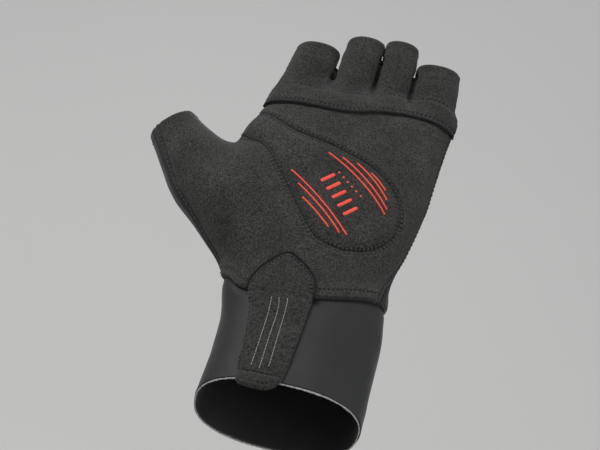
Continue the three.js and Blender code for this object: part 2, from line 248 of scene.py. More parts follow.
def hermite(rows, places):
    """Every column of a table at the places: cubic Hermite pieces, with slopes between a row's neighbours."""
    at = rows[:, 0]
    last = len(rows) - 1
    before = np.maximum(np.arange(last + 1) - 1, 0)
    after = np.minimum(np.arange(last + 1) + 1, last)
    slopes = (rows[after] - rows[before]) / (at[after] - at[before])[:, None]
    i = np.clip(np.searchsorted(at, places, side="right") - 1, 0, last - 1)
    span = (at[i + 1] - at[i])[:, None]
    u = (places - at[i])[:, None] / span
    return (
        (2 * u**3 - 3 * u**2 + 1) * rows[i]
        + (u**3 - 2 * u**2 + u) * span * slopes[i]
        + (3 * u**2 - 2 * u**3) * rows[i + 1]
        + (u**3 - u**2) * span * slopes[i + 1]
    )


def smoothstep(x, low, high):
    """Zero below low, one above high, and the cubic 3t squared less 2t cubed between."""
    t = np.clip((x - low) / (high - low), 0, 1)
    return t * t * (3 - 2 * t)


class Sections:
    """A table of sections, read at any place along it by a column's name."""

    READINGS = 600

    def __init__(self, columns, rows):
        rows = np.array(rows, float)
        self.at = np.linspace(rows[0, 0], rows[-1, 0], self.READINGS)
        self.values = dict(zip(columns, hermite(rows, self.at).T))

    def __call__(self, name, place):
        return np.interp(place, self.at, self.values[name])


def body_rows():
    """The cuff and palm as one table, in millimetres."""
    rows = []
    for columns, table, start, length, width, depth in (
        (CUFF_COLUMNS, CUFF_SECTIONS, 0, CUFF_LENGTH, CUFF_WIDTH, CUFF_DEPTH),
        (PALM_COLUMNS, PALM_SECTIONS, CUFF_LENGTH, PALM_LENGTH, PALM_WIDTH, PALM_DEPTH),
    ):
        for row in table:
            at = {"setback": 1.0, "tilt": 0.0, "hollow": 0.0} | dict(zip(columns, row))
            sizes = [at["radial"] * width, at["ulnar"] * width, at["palm"] * depth, at["back"] * depth]
            lie = [at["setback"] * PALM_SETBACK, at["tilt"] * CUFF_LEAN, at["hollow"]]
            rows.append([start + at["along"] * length, *sizes, *lie])
    return rows


BODY = Sections(("along", "left", "right", "palm", "back", "setback", "lean", "hollow"), body_rows())
THUMB = Sections(THUMB_COLUMNS, THUMB_SECTIONS)
STALL = Sections(FINGER_COLUMNS, FINGER_SECTIONS)

THUMB_ALONG = np.array([-math.sin(THUMB_ANGLE), 0, math.cos(THUMB_ANGLE)])
THUMB_WEB = np.array([math.cos(THUMB_ANGLE), 0, math.sin(THUMB_ANGLE)])
THUMB_HEM_AT = np.array([THUMB_HEM[0] * PALM_WIDTH, PALM_SETBACK, CUFF_LENGTH + THUMB_HEM[1] * PALM_LENGTH])
BACKWARD = np.array([0.0, 1.0, 0.0])


def section_gap(x, y, left, right, palm, back, exponent, hollow=0.0):
    """How far (x, y) is outside a squared ellipse with four half sizes: its gauge less 1, over its slope."""
    half_width = np.where(x < 0, left, right)
    u = np.abs(x / half_width)
    dip = 1 - hollow * np.exp(-(((x / half_width - DIP_AT) / DIP_SPREAD) ** 2))
    half_depth = np.where(y < 0, palm * dip, back)
    v = np.abs(y / half_depth)
    gauge = (u**exponent + v**exponent) ** (1 / exponent) + 1e-6
    slope = np.hypot(u ** (exponent - 1) / half_width, v ** (exponent - 1) / half_depth)
    return (gauge - 1) * gauge ** (exponent - 1) / np.maximum(slope, 1e-6)


def capped(d, e):
    """The distance to what is inside both d and e, round where their faces meet."""
    return np.hypot(np.maximum(d, 0), np.maximum(e, 0)) + np.minimum(np.maximum(d, e), 0)


def melted(a, b, reach):
    """The smaller of two distances, less a quarter of the reach times how nearly equal they are, squared."""
    near = np.maximum(reach - np.abs(a - b), 0) / reach
    return np.minimum(a, b) - near**2 * reach / 4


def body_gap(p):
    """The distance to the cuff and palm. A point's level is its height along the leaning sections."""
    x, y, z = np.moveaxis(p, -1, 0)
    level = z
    for _ in range(4):
        behind = y - BODY("setback", level) - np.minimum(level, 0) * CUFF_LEAN
        level = z + behind * BODY("lean", level)
    sizes = [BODY(name, level) for name in ("left", "right", "palm", "back")]
    return capped(section_gap(x, behind, *sizes, BODY_EXPONENT, BODY("hollow", level)), level - CROTCH)


def thumb_gap(p):
    """The distance to the thumb, whose sections stand across its own axis."""
    away = p - THUMB_HEM_AT
    along = 1 + away @ THUMB_ALONG / THUMB_LENGTH
    sizes = [THUMB(name, along) * THUMB_WIDTH for name in ("outer", "web")]
    sizes += [THUMB(name, along) * THUMB_DEPTH for name in ("palm", "back")]
    return capped(section_gap(away @ THUMB_WEB, away[..., 1], *sizes, THUMB_EXPONENT), -along * THUMB_LENGTH)


def stall_axis(name):
    """The root and hem of a finger stall's middle line, and its full half width and half depth."""
    size = FINGERS[name]
    root = np.array([size["root"] * PALM_WIDTH, PALM_SETBACK, CROTCH - FINGER_ROOT])
    hem = np.array([size["hem"] * PALM_WIDTH, PALM_SETBACK, CROTCH + size["length"] * FINGER_LENGTH])
    return root, hem, size["width"] * FINGER_WIDTH / 2, size["depth"] * FINGER_DEPTH / 2


STALL_AXES = {name: stall_axis(name) for name in FINGERS}


def stall_gap(p, name):
    """The distance to one finger stall, whose sections lie level."""
    root, hem, width, depth = STALL_AXES[name]
    along = (p[..., 2] - root[2]) / (hem[2] - root[2])
    girth = STALL("girth", along)
    x = p[..., 0] - root[0] - (hem[0] - root[0]) * along
    sizes = [girth * width, girth * width, girth * depth, girth * depth]
    d = section_gap(x, p[..., 1] - PALM_SETBACK, *sizes, FINGER_EXPONENT)
    return capped(d, root[2] - p[..., 2])


def form_gap(p):
    """The distance to the whole form."""
    stalls = stall_gap(p, "index")
    for name in ("middle", "ring", "little"):
        stalls = melted(stalls, stall_gap(p, name), STALL_MELT)
    return melted(melted(body_gap(p), thumb_gap(p), THUMB_MELT), stalls, PALM_MELT)


CORNERS = np.array([(1, 1, 1), (1, -1, -1), (-1, 1, -1), (-1, -1, 1)], float)


def slope_of(p, gap=form_gap, step=0.15):
    """The distance's gradient, from four points at a small tetrahedron's corners."""
    return sum(corner * gap(p + step * corner)[..., None] for corner in CORNERS) / (4 * step)


def outward(p, gap=form_gap):
    """The unit normal of the form."""
    slope = slope_of(p, gap)
    return slope / np.linalg.norm(slope, axis=-1, keepdims=True)


def settled(p, steps=3, out=0.0, gap=form_gap):
    """Points moved onto the form drawn out by a distance, with Newton's steps along its slope."""
    for _ in range(steps):
        slope = slope_of(p, gap)
        step = (gap(p) - out) / np.maximum((slope**2).sum(-1), 0.05)
        p = p - np.clip(step, -3, 3)[..., None] * slope
    return p


def side_seam(x, z):
    """How far back the side seam lies: before the mid-plane, and further forward at the thumb and wrist."""
    away = np.stack([x, np.full_like(x, PALM_SETBACK), z], -1) - THUMB_HEM_AT
    along = 1 + away @ THUMB_ALONG / THUMB_LENGTH
    web = away @ THUMB_WEB / THUMB_WIDTH
    thumb = smoothstep(along, *THUMB_STEP["along"]) * (1 - smoothstep(web, *THUMB_STEP["web"]))
    up = (z - CUFF_LENGTH) / PALM_LENGTH
    wrist = (1 - smoothstep(up, *WRIST_STEP["up"])) * smoothstep(x / PALM_WIDTH, *WRIST_STEP["across"])
    return PALM_SETBACK - SIDE_SEAM - THUMB_SEAM * thumb - WRIST_SEAM * wrist


def on_side(x, z):
    """Points of the side seam's sheet above a place in the front view."""
    return np.stack([x, side_seam(x, z), z], -1)


def side_points(inside, ways, reach=45.0, gap=form_gap):
    """Where rays in the side seam's sheet leave the form, by halving the interval."""
    near = np.zeros(len(inside))
    far = np.full(len(inside), reach)
    for _ in range(26):
        middle = (near + far) / 2
        spot = inside + middle[:, None] * ways
        within = gap(on_side(spot[:, 0], spot[:, 1])) < 0
        near = np.where(within, middle, near)
        far = np.where(within, far, middle)
    spot = inside + near[:, None] * ways
    return on_side(spot[:, 0], spot[:, 1])


def seen_from(x, z, side, gap=form_gap):
    """The first point of the form from the front (side -1) or the back (1) at places in the front view."""
    y = np.full_like(x, PALM_SETBACK + side * 45.0)
    for _ in range(60):
        y = y - side * 0.8 * gap(np.stack([x, y, z], -1))
        y = side * np.maximum(side * y, side * PALM_SETBACK)
    return np.stack([x, y, z], -1)


def smooth_line(points, count, closed=False):
    """A centripetal Catmull-Rom curve through points of the front view, in millimetres."""
    points = np.array(points, float)
    if closed:
        around = np.concatenate([points[-1:], points, points[:2]])
    else:
        around = np.concatenate([[2 * points[0] - points[1]], points, [2 * points[-1] - points[-2]]])
    knots = np.concatenate([[0], np.cumsum(np.linalg.norm(np.diff(around, axis=0), axis=1) ** 0.5)])
    t = np.linspace(knots[1], knots[-2], count)
    i = np.clip(np.searchsorted(knots, t, side="right") - 1, 1, len(around) - 3)
    p = [around[i + k] for k in (-1, 0, 1, 2)]
    k = [knots[i + n][:, None] for n in (-1, 0, 1, 2)]
    t = t[:, None]

    def between(a, b, low, high):
        return a + (b - a) * (t - low) / (high - low)

    a = [between(p[n], p[n + 1], k[n], k[n + 1]) for n in range(3)]
    b = [between(a[0], a[1], k[0], k[2]), between(a[1], a[2], k[1], k[3])]
    return between(b[0], b[1], k[1], k[2])


def drawn(shares, count=240):
    """A seam line from its shares of the palm's width and length."""
    line = [(across * PALM_WIDTH, CUFF_LENGTH + up * PALM_LENGTH) for across, up in shares]
    return smooth_line(line, count)


def runs(line):
    """How far along a line each of its points lies."""
    return np.concatenate([[0], np.cumsum(np.linalg.norm(np.diff(line, axis=0), axis=-1))])


def spaced(line, count):
    """A line read again at evenly spaced places."""
    run = runs(line)
    places = np.linspace(0, run[-1], count)
    return np.stack([np.interp(places, run, line[:, k]) for k in range(line.shape[1])], -1)


def within_sides(line):
    """The part of a front-view line that lies inside the side seams, cut where it crosses them."""
    gap = form_gap(on_side(line[:, 0], line[:, 1]))
    inside = np.flatnonzero(gap < 0)
    first, last = inside[0], inside[-1]
    kept = [line[first : last + 1]]
    if first > 0:
        share = gap[first] / (gap[first] - gap[first - 1])
        kept.insert(0, line[first : first + 1] + share * (line[first - 1] - line[first]))
    if last < len(line) - 1:
        share = gap[last] / (gap[last] - gap[last + 1])
        kept.append(line[last : last + 1] + share * (line[last + 1] - line[last]))
    return np.concatenate(kept)


def laid(line, side=-1):
    """A front-view line laid on the form's front or back, between the side seams."""
    flat = within_sides(line)
    points = seen_from(flat[:, 0], flat[:, 1], side)
    ends = on_side(*flat[[0, -1]].T)
    points[[0, -1]] = np.where(np.abs(form_gap(ends))[:, None] < 0.3, ends, points[[0, -1]])
    return points


# Where neighbouring stalls part, above the wrist opening; how far their web is rounded down over which half
# depth; how wide the slit between them is; and how softly they are pressed flat against it
CROTCHES = (184.0, 195.0, 190.5)
CROTCH_ROUND = 3.0
CROTCH_SPAN = 8.0
SLIT = 0.2
SLIT_MELT = 1.5
OUT_OF_REACH = 60.0
STALL_NAMES = tuple(FINGERS)


def stall_edge(name, z, side):
    """The middle line of a stall moved to one side by its half width, at heights z."""
    root, hem, width, _ = STALL_AXES[name]
    along = (z - root[2]) / (hem[2] - root[2])
    return root[0] + (hem[0] - root[0]) * along + side * STALL("girth", along) * width


def valley_at(k, z):
    """Where the valley between stalls k and k + 1 lies across the palm: halfway between their edges."""
    return (stall_edge(STALL_NAMES[k], z, 1) + stall_edge(STALL_NAMES[k + 1], z, -1)) / 2


def parting(k, y):
    """How high the web between stalls k and k + 1 reaches: a parabola across the depth of the form."""
    return CROTCHES[k] - CROTCH_ROUND * ((y - PALM_SETBACK + SIDE_SEAM) / CROTCH_SPAN) ** 2


def stall_form(k):
    """The form with stall k parted from its neighbours above the webs, and pressed flat where they touch."""

    def gap(p):
        y, z = p[..., 1], p[..., 2]
        stalls = stall_gap(p, STALL_NAMES[k])
        walls = []
        for web, other, side in ((k - 1, k - 1, -1), (k, k + 1, 1)):
            if 0 <= other < len(STALL_NAMES):
                parted = z > parting(web, y)
                near = stall_gap(p, STALL_NAMES[other]) + np.where(parted, OUT_OF_REACH, 0.0)
                stalls = melted(stalls, near, STALL_MELT)
                wall = side * (p[..., 0] - valley_at(web, z)) + SLIT / 2
                walls.append(wall - np.where(parted, 0.0, OUT_OF_REACH))
        form = melted(melted(body_gap(p), thumb_gap(p), THUMB_MELT), stalls, PALM_MELT)
        for wall in walls:
            form = -melted(-form, -wall, SLIT_MELT)
        return form

    return gap


def bisected(start, ways, reach, gap):
    """Where rays leave the form, by halving the interval."""
    near = np.zeros(len(start))
    far = np.full(len(start), float(reach))
    for _ in range(26):
        middle = (near + far) / 2
        within = gap(start + middle[:, None] * ways) < 0
        near = np.where(within, middle, near)
        far = np.where(within, far, middle)
    return start + near[:, None] * ways


def hem_arc(first, last, centre, across, count, turn, gap):
    """The rim of an open end, turning about its centre from one side seam to the other in the hem's plane."""
    ends = [math.atan2((p - centre) @ BACKWARD, (p - centre) @ across) for p in (first, last)]
    sweep = (ends[1] - ends[0]) * turn % (2 * math.pi) * turn
    angles = (ends[0] + sweep * np.linspace(0, 1, count))[:, None]
    ways = np.cos(angles) * across + np.sin(angles) * BACKWARD
    rim = bisected(np.tile(centre, (count, 1)), ways, 30, gap)
    rim[0], rim[-1] = first, last
    return rim


def body_side(z, side):
    """The side seam of the palm at heights z, on the thumb's side (-1) or the little finger's (1)."""
    inside = np.stack([np.full_like(z, 6.0 * side), z], -1)
    return side_points(inside, np.tile([float(side), 0.0], (len(z), 1)), 46.0 if side < 0 else 60.0)


def thumb_side(start, way, way_at_hem, count=120):
    """A side seam of the thumb: rays whose start and way change evenly from the palm to the hem."""
    share = np.linspace(0, 1, count)[:, None]
    inside = np.array(start) + share * (THUMB_HEM_AT[[0, 2]] - np.array(start))
    ways = np.array(way) + share * (np.array(way_at_hem) - np.array(way))
    ways /= np.linalg.norm(ways, axis=1, keepdims=True)
    return side_points(inside, ways, 45.0)


def joined(*lines):
    """Lines end to end as one, without the points they share."""
    return np.concatenate([lines[0]] + [line[1:] for line in lines[1:]])


def run_near(line, x, z):
    """The run along a line of its point nearest to a place in the front view."""
    return runs(line)[np.argmin(np.hypot(line[:, 0] - x, line[:, 2] - z))]


def keyed(line, keys, counts):
    """A line read between its keys, evenly and as often as counts say."""
    run = runs(line)
    places = [np.linspace(a, b, n, endpoint=False) for a, b, n in zip(keys[:-1], keys[1:], counts)]
    places = np.concatenate(places + [[keys[-1]]])
    return np.stack([np.interp(places, run, line[:, k]) for k in range(3)], -1)


def coons(foot, top, left, right):
    """A grid between four edges: both ways of drawing lines across it, less the one from its corners."""
    u = np.linspace(0, 1, len(foot))[:, None, None]
    v = np.linspace(0, 1, len(left))[None, :, None]
    flat = (1 - u) * (1 - v) * foot[0] + u * (1 - v) * foot[-1] + (1 - u) * v * top[0] + u * v * top[-1]
    return (1 - v) * foot[:, None] + v * top[:, None] + (1 - u) * left[None] + u * right[None] - flat


def eased(grid, rounds, gap):
    """Inner points moved to the mean of their four neighbours and back onto the form, many times."""
    grid = grid.copy()
    for _ in range(rounds):
        inner = (grid[2:, 1:-1] + grid[:-2, 1:-1] + grid[1:-1, 2:] + grid[1:-1, :-2]) / 4
        grid[1:-1, 1:-1] = settled(inner, 1, gap=gap)
    return grid


def fitted(foot, top, left, right, side, rounds=160, gap=form_gap):
    """A grid on the form between four edges that lie on it, started from what the front or back shows."""
    grid = coons(foot, top, left, right)
    inner = grid[1:-1, 1:-1]
    grid[1:-1, 1:-1] = seen_from(inner[..., 0], inner[..., 2], side, gap=gap)
    return eased(grid, rounds, gap)


def crowded(count, cells, pull=0.55):
    """Places from 0 to cells that lie closer together towards both ends."""
    share = np.linspace(0, 1, count)
    return cells * (share - pull * np.sin(2 * math.pi * share) / (2 * math.pi))


def read_along(grid, places):
    """A grid read along its first way at finer places, on cubic pieces."""
    slopes = np.gradient(grid, axis=0)
    i = np.clip(np.floor(places).astype(int), 0, len(grid) - 2)
    u = (places - i).reshape(-1, *[1] * (grid.ndim - 1))
    return (
        (2 * u**3 - 3 * u**2 + 1) * grid[i]
        + (u**3 - 2 * u**2 + u) * slopes[i]
        + (3 * u**2 - 2 * u**3) * grid[i + 1]
        + (u**3 - u**2) * slopes[i + 1]
    )


def refined(grid, columns, rows, gap=form_gap):
    """A grid read at finer columns and rows and moved onto the form, with its rim left where it is."""
    fine = read_along(grid, columns)
    fine = np.swapaxes(read_along(np.swapaxes(fine, 0, 1), rows), 0, 1)
    fine[1:-1, 1:-1] = settled(fine[1:-1, 1:-1], 2, gap=gap)
    return fine


def nearest(points, line, chunk=4096):
    """How far each point is from a line, and how far along the line its nearest place lies."""
    flat = points.reshape(-1, 3)
    start, step = line[:-1], np.diff(line, axis=0)
    length = np.linalg.norm(step, axis=1)
    run = runs(line)[:-1]
    away, along = np.empty(len(flat)), np.empty(len(flat))
    for i in range(0, len(flat), chunk):
        offset = flat[i : i + chunk, None] - start
        share = np.clip((offset * step).sum(-1) / length**2, 0, 1)
        gaps = np.linalg.norm(offset - share[..., None] * step, axis=-1)
        best = gaps.argmin(1)
        rows = np.arange(len(best))
        away[i : i + chunk] = gaps[rows, best]
        along[i : i + chunk] = run[best] + share[rows, best] * length[best]
    return away.reshape(points.shape[:-1]), along.reshape(points.shape[:-1])


def grid_cells(columns, rows):
    """The four corners of each cell of a grid, counted row by row within a column."""
    i, j = np.meshgrid(np.arange(columns - 1), np.arange(rows - 1), indexing="ij")
    corner = (i * rows + j).ravel()
    return np.stack([corner, corner + rows, corner + rows + 1, corner + 1], -1)


def welded(points, faces, reach=0.02):
    """Points closer than the reach made one, the faces that use them, and the new number of every point."""
    keys = np.round(points / reach).astype(np.int64)
    _, first, same = np.unique(keys, axis=0, return_index=True, return_inverse=True)
    same = same.reshape(-1)
    return points[first], same[faces], same


def closed_sheet(outer, inner, faces, bulge=0.25):
    """Two like surfaces as one closed sheet, with a half-round rim of three steps round every open edge."""
    count = len(outer)
    edges = np.concatenate([faces[:, [k, (k + 1) % 4]] for k in range(4)])
    numbers = edges.min(1).astype(np.int64) * count + edges.max(1)
    _, first, uses = np.unique(numbers, return_index=True, return_counts=True)
    rim = edges[first[uses == 1]]
    along = outer[rim[:, 1]] - outer[rim[:, 0]]
    thick = outer - inner
    away = np.cross(along, thick[rim[:, 0]])
    away /= np.maximum(np.linalg.norm(away, axis=1, keepdims=True), 1e-9)
    out = np.zeros_like(outer)
    np.add.at(out, rim[:, 0], away)
    np.add.at(out, rim[:, 1], away)
    used = np.unique(rim)
    out = out[used] / np.maximum(np.linalg.norm(out[used], axis=1, keepdims=True), 1e-9)
    middle = (outer[used] + inner[used]) / 2
    half = thick[used] / 2
    rings = [middle + math.cos(t) * half + bulge * math.sin(t) * out for t in np.radians((50, 90, 130))]
    number = np.zeros(count, int)
    number[used] = np.arange(len(used))
    levels = [rim] + [2 * count + k * len(used) + number[rim] for k in range(3)] + [rim + count]
    walls = [np.concatenate([a[:, ::-1], b], 1) for a, b in zip(levels[:-1], levels[1:])]
    return np.concatenate([outer, inner, *rings]), np.concatenate([faces, faces[:, ::-1] + count, *walls])


# The place beside a seam, in millimetres, of points that are nowhere near one
UNSEWN = 99.0


def mesh_object(name, points, faces, sewn=None):
    """A smooth-shaded mesh of four-cornered faces, in millimetres, with its points' places at their seam."""
    mesh = bpy.data.meshes.new(name)
    mesh.vertices.add(len(points))
    mesh.vertices.foreach_set("co", (points * MM).astype(np.float32).ravel())
    mesh.loops.add(faces.size)
    mesh.loops.foreach_set("vertex_index", faces.astype(np.int32).ravel())
    mesh.polygons.add(len(faces))
    mesh.polygons.foreach_set("loop_start", np.arange(0, faces.size, faces.shape[1], dtype=np.int32))
    mesh.polygons.foreach_set("use_smooth", np.ones(len(faces), bool))
    mesh.update(calc_edges=True)
    if sewn is not None:
        places = np.full((len(points), 3), UNSEWN, np.float32)
        places[: len(sewn)] = sewn
        mesh.attributes.new("sewn", "FLOAT_VECTOR", "POINT").data.foreach_set("vector", places.ravel())
    made = bpy.data.objects.new(name, mesh)
    bpy.context.scene.collection.objects.link(made)
    return made


def seam_height(x):
    """How high the palm seam runs at a place across the front view."""
    line = drawn(PALM_SEAM)
    return np.interp(x, line[:, 0], line[:, 1])


def round_wrist(angles, lift=0.0):
    """The palm seam where rays from the wrist's middle line meet the form, moved up by a lift."""
    ways = np.stack([np.cos(angles), np.sin(angles), np.zeros_like(angles)], -1)
    z = np.full_like(angles, CUFF_LENGTH)
    for _ in range(4):
        middle = np.stack([np.zeros_like(z), np.full_like(z, PALM_SETBACK), z], -1)
        points = bisected(middle, ways, 60, form_gap)
        z = seam_height(points[:, 0]) + lift
    return points


class Seams:
    """Every seam and edge of the glove as a line of points on its form."""

    def __init__(self):
        pad = laid(joined(drawn(PAD_TOP), drawn(PAD_FOOT)))
        self.pad = pad
        self.hem_line = laid(drawn(HEM_LINE))
        self.palm_front = laid(drawn(PALM_SEAM))
        heel_left, heel_right = self.palm_front[0], self.palm_front[-1]
        ends = [math.atan2(p[1] - PALM_SETBACK, p[0]) % (2 * math.pi) for p in (heel_left, heel_right)]
        self.palm_back = round_wrist(np.linspace(ends[0], ends[1] - 2 * math.pi, 200))
        self.palm_back[0], self.palm_back[-1] = heel_left, heel_right
        pad_high, pad_low = pad[0, 2], pad[-1, 2]
        hem_left, hem_right = self.hem_line[0], self.hem_line[-1]
        self.pad_side = body_side(np.linspace(pad_low, pad_high, 30), -1)
        self.pad_side[0], self.pad_side[-1] = pad[-1], pad[0]
        self.strip_side = body_side(np.linspace(pad_high, hem_left[2], 20), -1)
        self.strip_side[0], self.strip_side[-1] = pad[0], hem_left
        heel = self.palm_front[-1]
        self.ulnar_side = body_side(np.linspace(hem_right[2], heel[2], 160), 1)
        self.ulnar_side[0], self.ulnar_side[-1] = hem_right, heel
        self.thumb_outer = thumb_side((-14.0, 61.7), (-1.0, 0.0), -THUMB_WEB[[0, 2]])
        self.thumb_outer[0] = self.palm_front[0]
        self.thumb_web = thumb_side((-34.0, 119.0), (-0.62, 0.78), THUMB_WEB[[0, 2]])
        self.thumb_web[0] = pad[-1]
        rim = (self.thumb_web[-1], self.thumb_outer[-1])
        centre = THUMB_HEM_AT - BACKWARD * (SIDE_SEAM + THUMB_SEAM / 2)
        self.thumb_rim_front = hem_arc(*rim, centre, THUMB_WEB, 80, -1, form_gap)
        self.thumb_rim_back = hem_arc(*rim, centre, THUMB_WEB, 80, 1, form_gap)
        across = np.linspace(self.palm_back[0, 0], self.pad[-1, 0], 100)
        inwards = 7 * np.sin(np.linspace(0, math.pi, 100))
        upwards = np.linspace(self.palm_back[0, 2], self.pad[-1, 2], 100)
        self.thumb_join = seen_from(across + inwards, upwards, 1)
        self.thumb_join[0], self.thumb_join[-1] = self.palm_back[0], self.pad[-1]
        self.stalls = [self.stall_edges(k) for k in range(len(STALL_NAMES))]

    def valley(self, k, side):
        """The valley between stalls k and k + 1, up to its web and over that to the side seam."""
        foot = self.hem_line[0, 2] - 2 if side < 0 else CUFF_LENGTH - HEM_WIDTH
        heights = np.linspace(foot, CROTCHES[k] + 2, 240)
        across = valley_at(k, np.maximum(heights, CROTCH - FINGER_ROOT))
        if side < 0:
            spots = np.interp(across, self.hem_line[:, 0], self.hem_line[:, 2])
        else:
            spots = np.interp(across, self.palm_back[:, 0], self.palm_back[:, 2])
        line = seen_from(across, heights, side)
        kept = (heights > spots) & (heights < parting(k, line[:, 1]) - 0.3)
        line = line[kept]
        first = np.flatnonzero(kept)[0]
        start = seen_from(across[first : first + 1], spots[first : first + 1], side)
        end = on_side(valley_at(k, np.array([CROTCHES[k]])), np.array([CROTCHES[k]]))
        depths = np.linspace(line[-1, 1], end[0, 1], 24)[1:-1]
        levels = parting(k, depths)
        over = np.stack([valley_at(k, levels), depths, levels], -1)
        return np.concatenate([start, line, over, end])

    def stall_edges(self, k):
        """The side seams of stall k from its webs to its hem, and the rim of that hem on both faces."""
        name = STALL_NAMES[k]
        gap = stall_form(k)
        _, hem, _, _ = STALL_AXES[name]
        edges = {"gap": gap}
        for label, side, web in (("left", -1, k - 1), ("right", 1, k)):
            outermost = not 0 <= web < len(CROTCHES)
            if outermost:
                foot = self.hem_line[0 if side < 0 else -1]
            else:
                foot = on_side(valley_at(web, np.array([CROTCHES[web]])), np.array([CROTCHES[web]]))[0]
            heights = np.linspace(foot[2], hem[2], 60)
            middles = (stall_edge(name, heights, -1) + stall_edge(name, heights, 1)) / 2
            inside = np.stack([middles, heights], -1)
            line = side_points(inside, np.tile([float(side), 0.0], (60, 1)), 24.0, gap)
            line[0] = foot
            edges[label] = line
        centre = np.array([hem[0], PALM_SETBACK - SIDE_SEAM, hem[2]])
        ends = (edges["left"][-1], edges["right"][-1])
        across = np.array([1.0, 0.0, 0.0])
        edges["rim_front"] = hem_arc(*ends, centre, across, 60, 1, gap)
        edges["rim_back"] = hem_arc(*ends, centre, across, 60, -1, gap)
        return edges


def palm_grid(seams):
    """The palm panel: columns from its inner edge to its outer, round the pad and out along the thumb."""
    inner = joined(seams.pad, seams.thumb_web)
    outer = joined(seams.hem_line, seams.ulnar_side, seams.palm_front[::-1], seams.thumb_outer)
    pad_end, web_end = runs(seams.pad)[-1], runs(inner)[-1]
    corner, heel = runs(seams.hem_line)[-1], runs(joined(seams.hem_line, seams.ulnar_side))[-1]
    root = runs(outer)[-1] - runs(seams.thumb_outer)[-1]
    inner_keys = [
        0,
        run_near(seams.pad, -3, 134.5),
        run_near(seams.pad, 21, 126.5),
        run_near(seams.pad, 34.3, 106),
        run_near(seams.pad, 28, 89),
        run_near(seams.pad, 11, 81),
        run_near(seams.pad, -13, 98),
        run_near(seams.pad, -27, 116),
        pad_end,
        (pad_end + web_end) / 2,
        web_end,
    ]
    outer_keys = [
        0,
        run_near(seams.hem_line, 14, 160),
        corner,
        corner + run_near(seams.ulnar_side, 48, 112),
        heel,
        heel + run_near(seams.palm_front[::-1], 9, 57),
        heel + run_near(seams.palm_front[::-1], -19, 52.5),
        root,
        root + 0.36 * (runs(outer)[-1] - root),
        root + 0.68 * (runs(outer)[-1] - root),
        runs(outer)[-1],
    ]
    spans = (np.diff(inner_keys) + np.diff(outer_keys)) / 2
    counts = np.maximum(np.round(spans / 2.4).astype(int), 2)
    foot, top = keyed(inner, inner_keys, counts), keyed(outer, outer_keys, counts)
    rows = 23
    left, right = spaced(seams.strip_side, rows), spaced(seams.thumb_rim_front, rows)
    coarse = fitted(foot, top, left, right, -1)
    return refined(coarse, np.linspace(0, len(foot) - 1, 560), crowded(84, rows - 1))


def pad_grid(seams):
    """The pad: columns from its foot on the thumb's side up to its seam with the strip above."""
    seam = seams.pad
    foot_run = runs(seam)
    tip_high, tip_low = run_near(seam, 34.3, 108), run_near(seam, 11, 81)
    columns, rows = 44, 26
    top = keyed(seam, [0, tip_high], [columns - 1])
    right = keyed(seam, [tip_high, tip_low], [rows - 1])[::-1]
    foot = keyed(seam, [tip_low, foot_run[-1]], [columns - 1])[::-1]
    coarse = fitted(foot, top, spaced(seams.pad_side, rows), right, -1)
    return refined(coarse, crowded(230, columns - 1), crowded(130, rows - 1))


def stall_grid(seams, k, side):
    """One column of the finger panel (side -1) or of the back (side 1), from its foot to its stall's hem."""
    edges = seams.stalls[k]
    last = len(STALL_NAMES) - 1
    low_rows, high_rows, columns = (14, 12, 16) if side < 0 else (44, 12, 16)
    lefts, rights = [], []
    for web, label, lines in ((k - 1, "left", lefts), (k, "right", rights)):
        if 0 <= web < last:
            lines.extend([spaced(seams.valley(web, side), low_rows), spaced(edges[label], high_rows)])
            continue
        line = edges[label]
        if side > 0:
            if label == "right":
                line = joined(seams.ulnar_side[::-1], line)
            else:
                line = joined(seams.thumb_join, seams.pad_side, seams.strip_side, line)
        run = runs(line)
        split = run_near(line, line[-1, 0], CROTCHES[min(max(web, 0), last - 1)] - 4)
        lines.append(keyed(line, [0, split], [low_rows - 1]))
        lines.append(keyed(line, [split, run[-1]], [high_rows - 1]))
    left, right = joined(*lefts), joined(*rights)
    base = seams.hem_line if side < 0 else seams.palm_back
    run = [run_near(base, *line[0, [0, 2]]) for line in (left, right)]
    foot = keyed(base, run, [columns - 1])
    foot[0], foot[-1] = left[0], right[0]
    rim = edges["rim_front" if side < 0 else "rim_back"]
    gap = edges["gap"]
    coarse = fitted(foot, spaced(rim, columns), left, right, side, 120, gap)
    across = np.linspace(0, columns - 1, 44)
    low = refined(coarse[:, :low_rows], across, np.linspace(0, low_rows - 1, 40 if side < 0 else 130), gap)
    high = refined(coarse[:, low_rows - 1 :], across, np.linspace(0, high_rows - 1, 34), gap)
    return np.concatenate([low, high[:, 1:]], 1)


def thumb_back_grid(seams):
    """The back of the thumb, from the line where it joins the back panel out to its hem."""
    rows = 30
    foot, top = spaced(seams.thumb_join, 26), spaced(seams.thumb_rim_back[::-1], 26)
    left, right = spaced(seams.thumb_outer, rows), spaced(seams.thumb_web, rows)
    coarse = fitted(foot, top, left, right, 1)
    return refined(coarse, np.linspace(0, 25, 90), np.linspace(0, rows - 1, 120))


def facing_out(faces, points, normals):
    """The faces turned round if they look into the form."""
    corner = points[faces[:, 0]]
    look = np.cross(points[faces[:, 1]] - corner, points[faces[:, 3]] - corner)
    return faces if (look * normals[faces[:, 0]]).sum() > 0 else faces[:, ::-1]


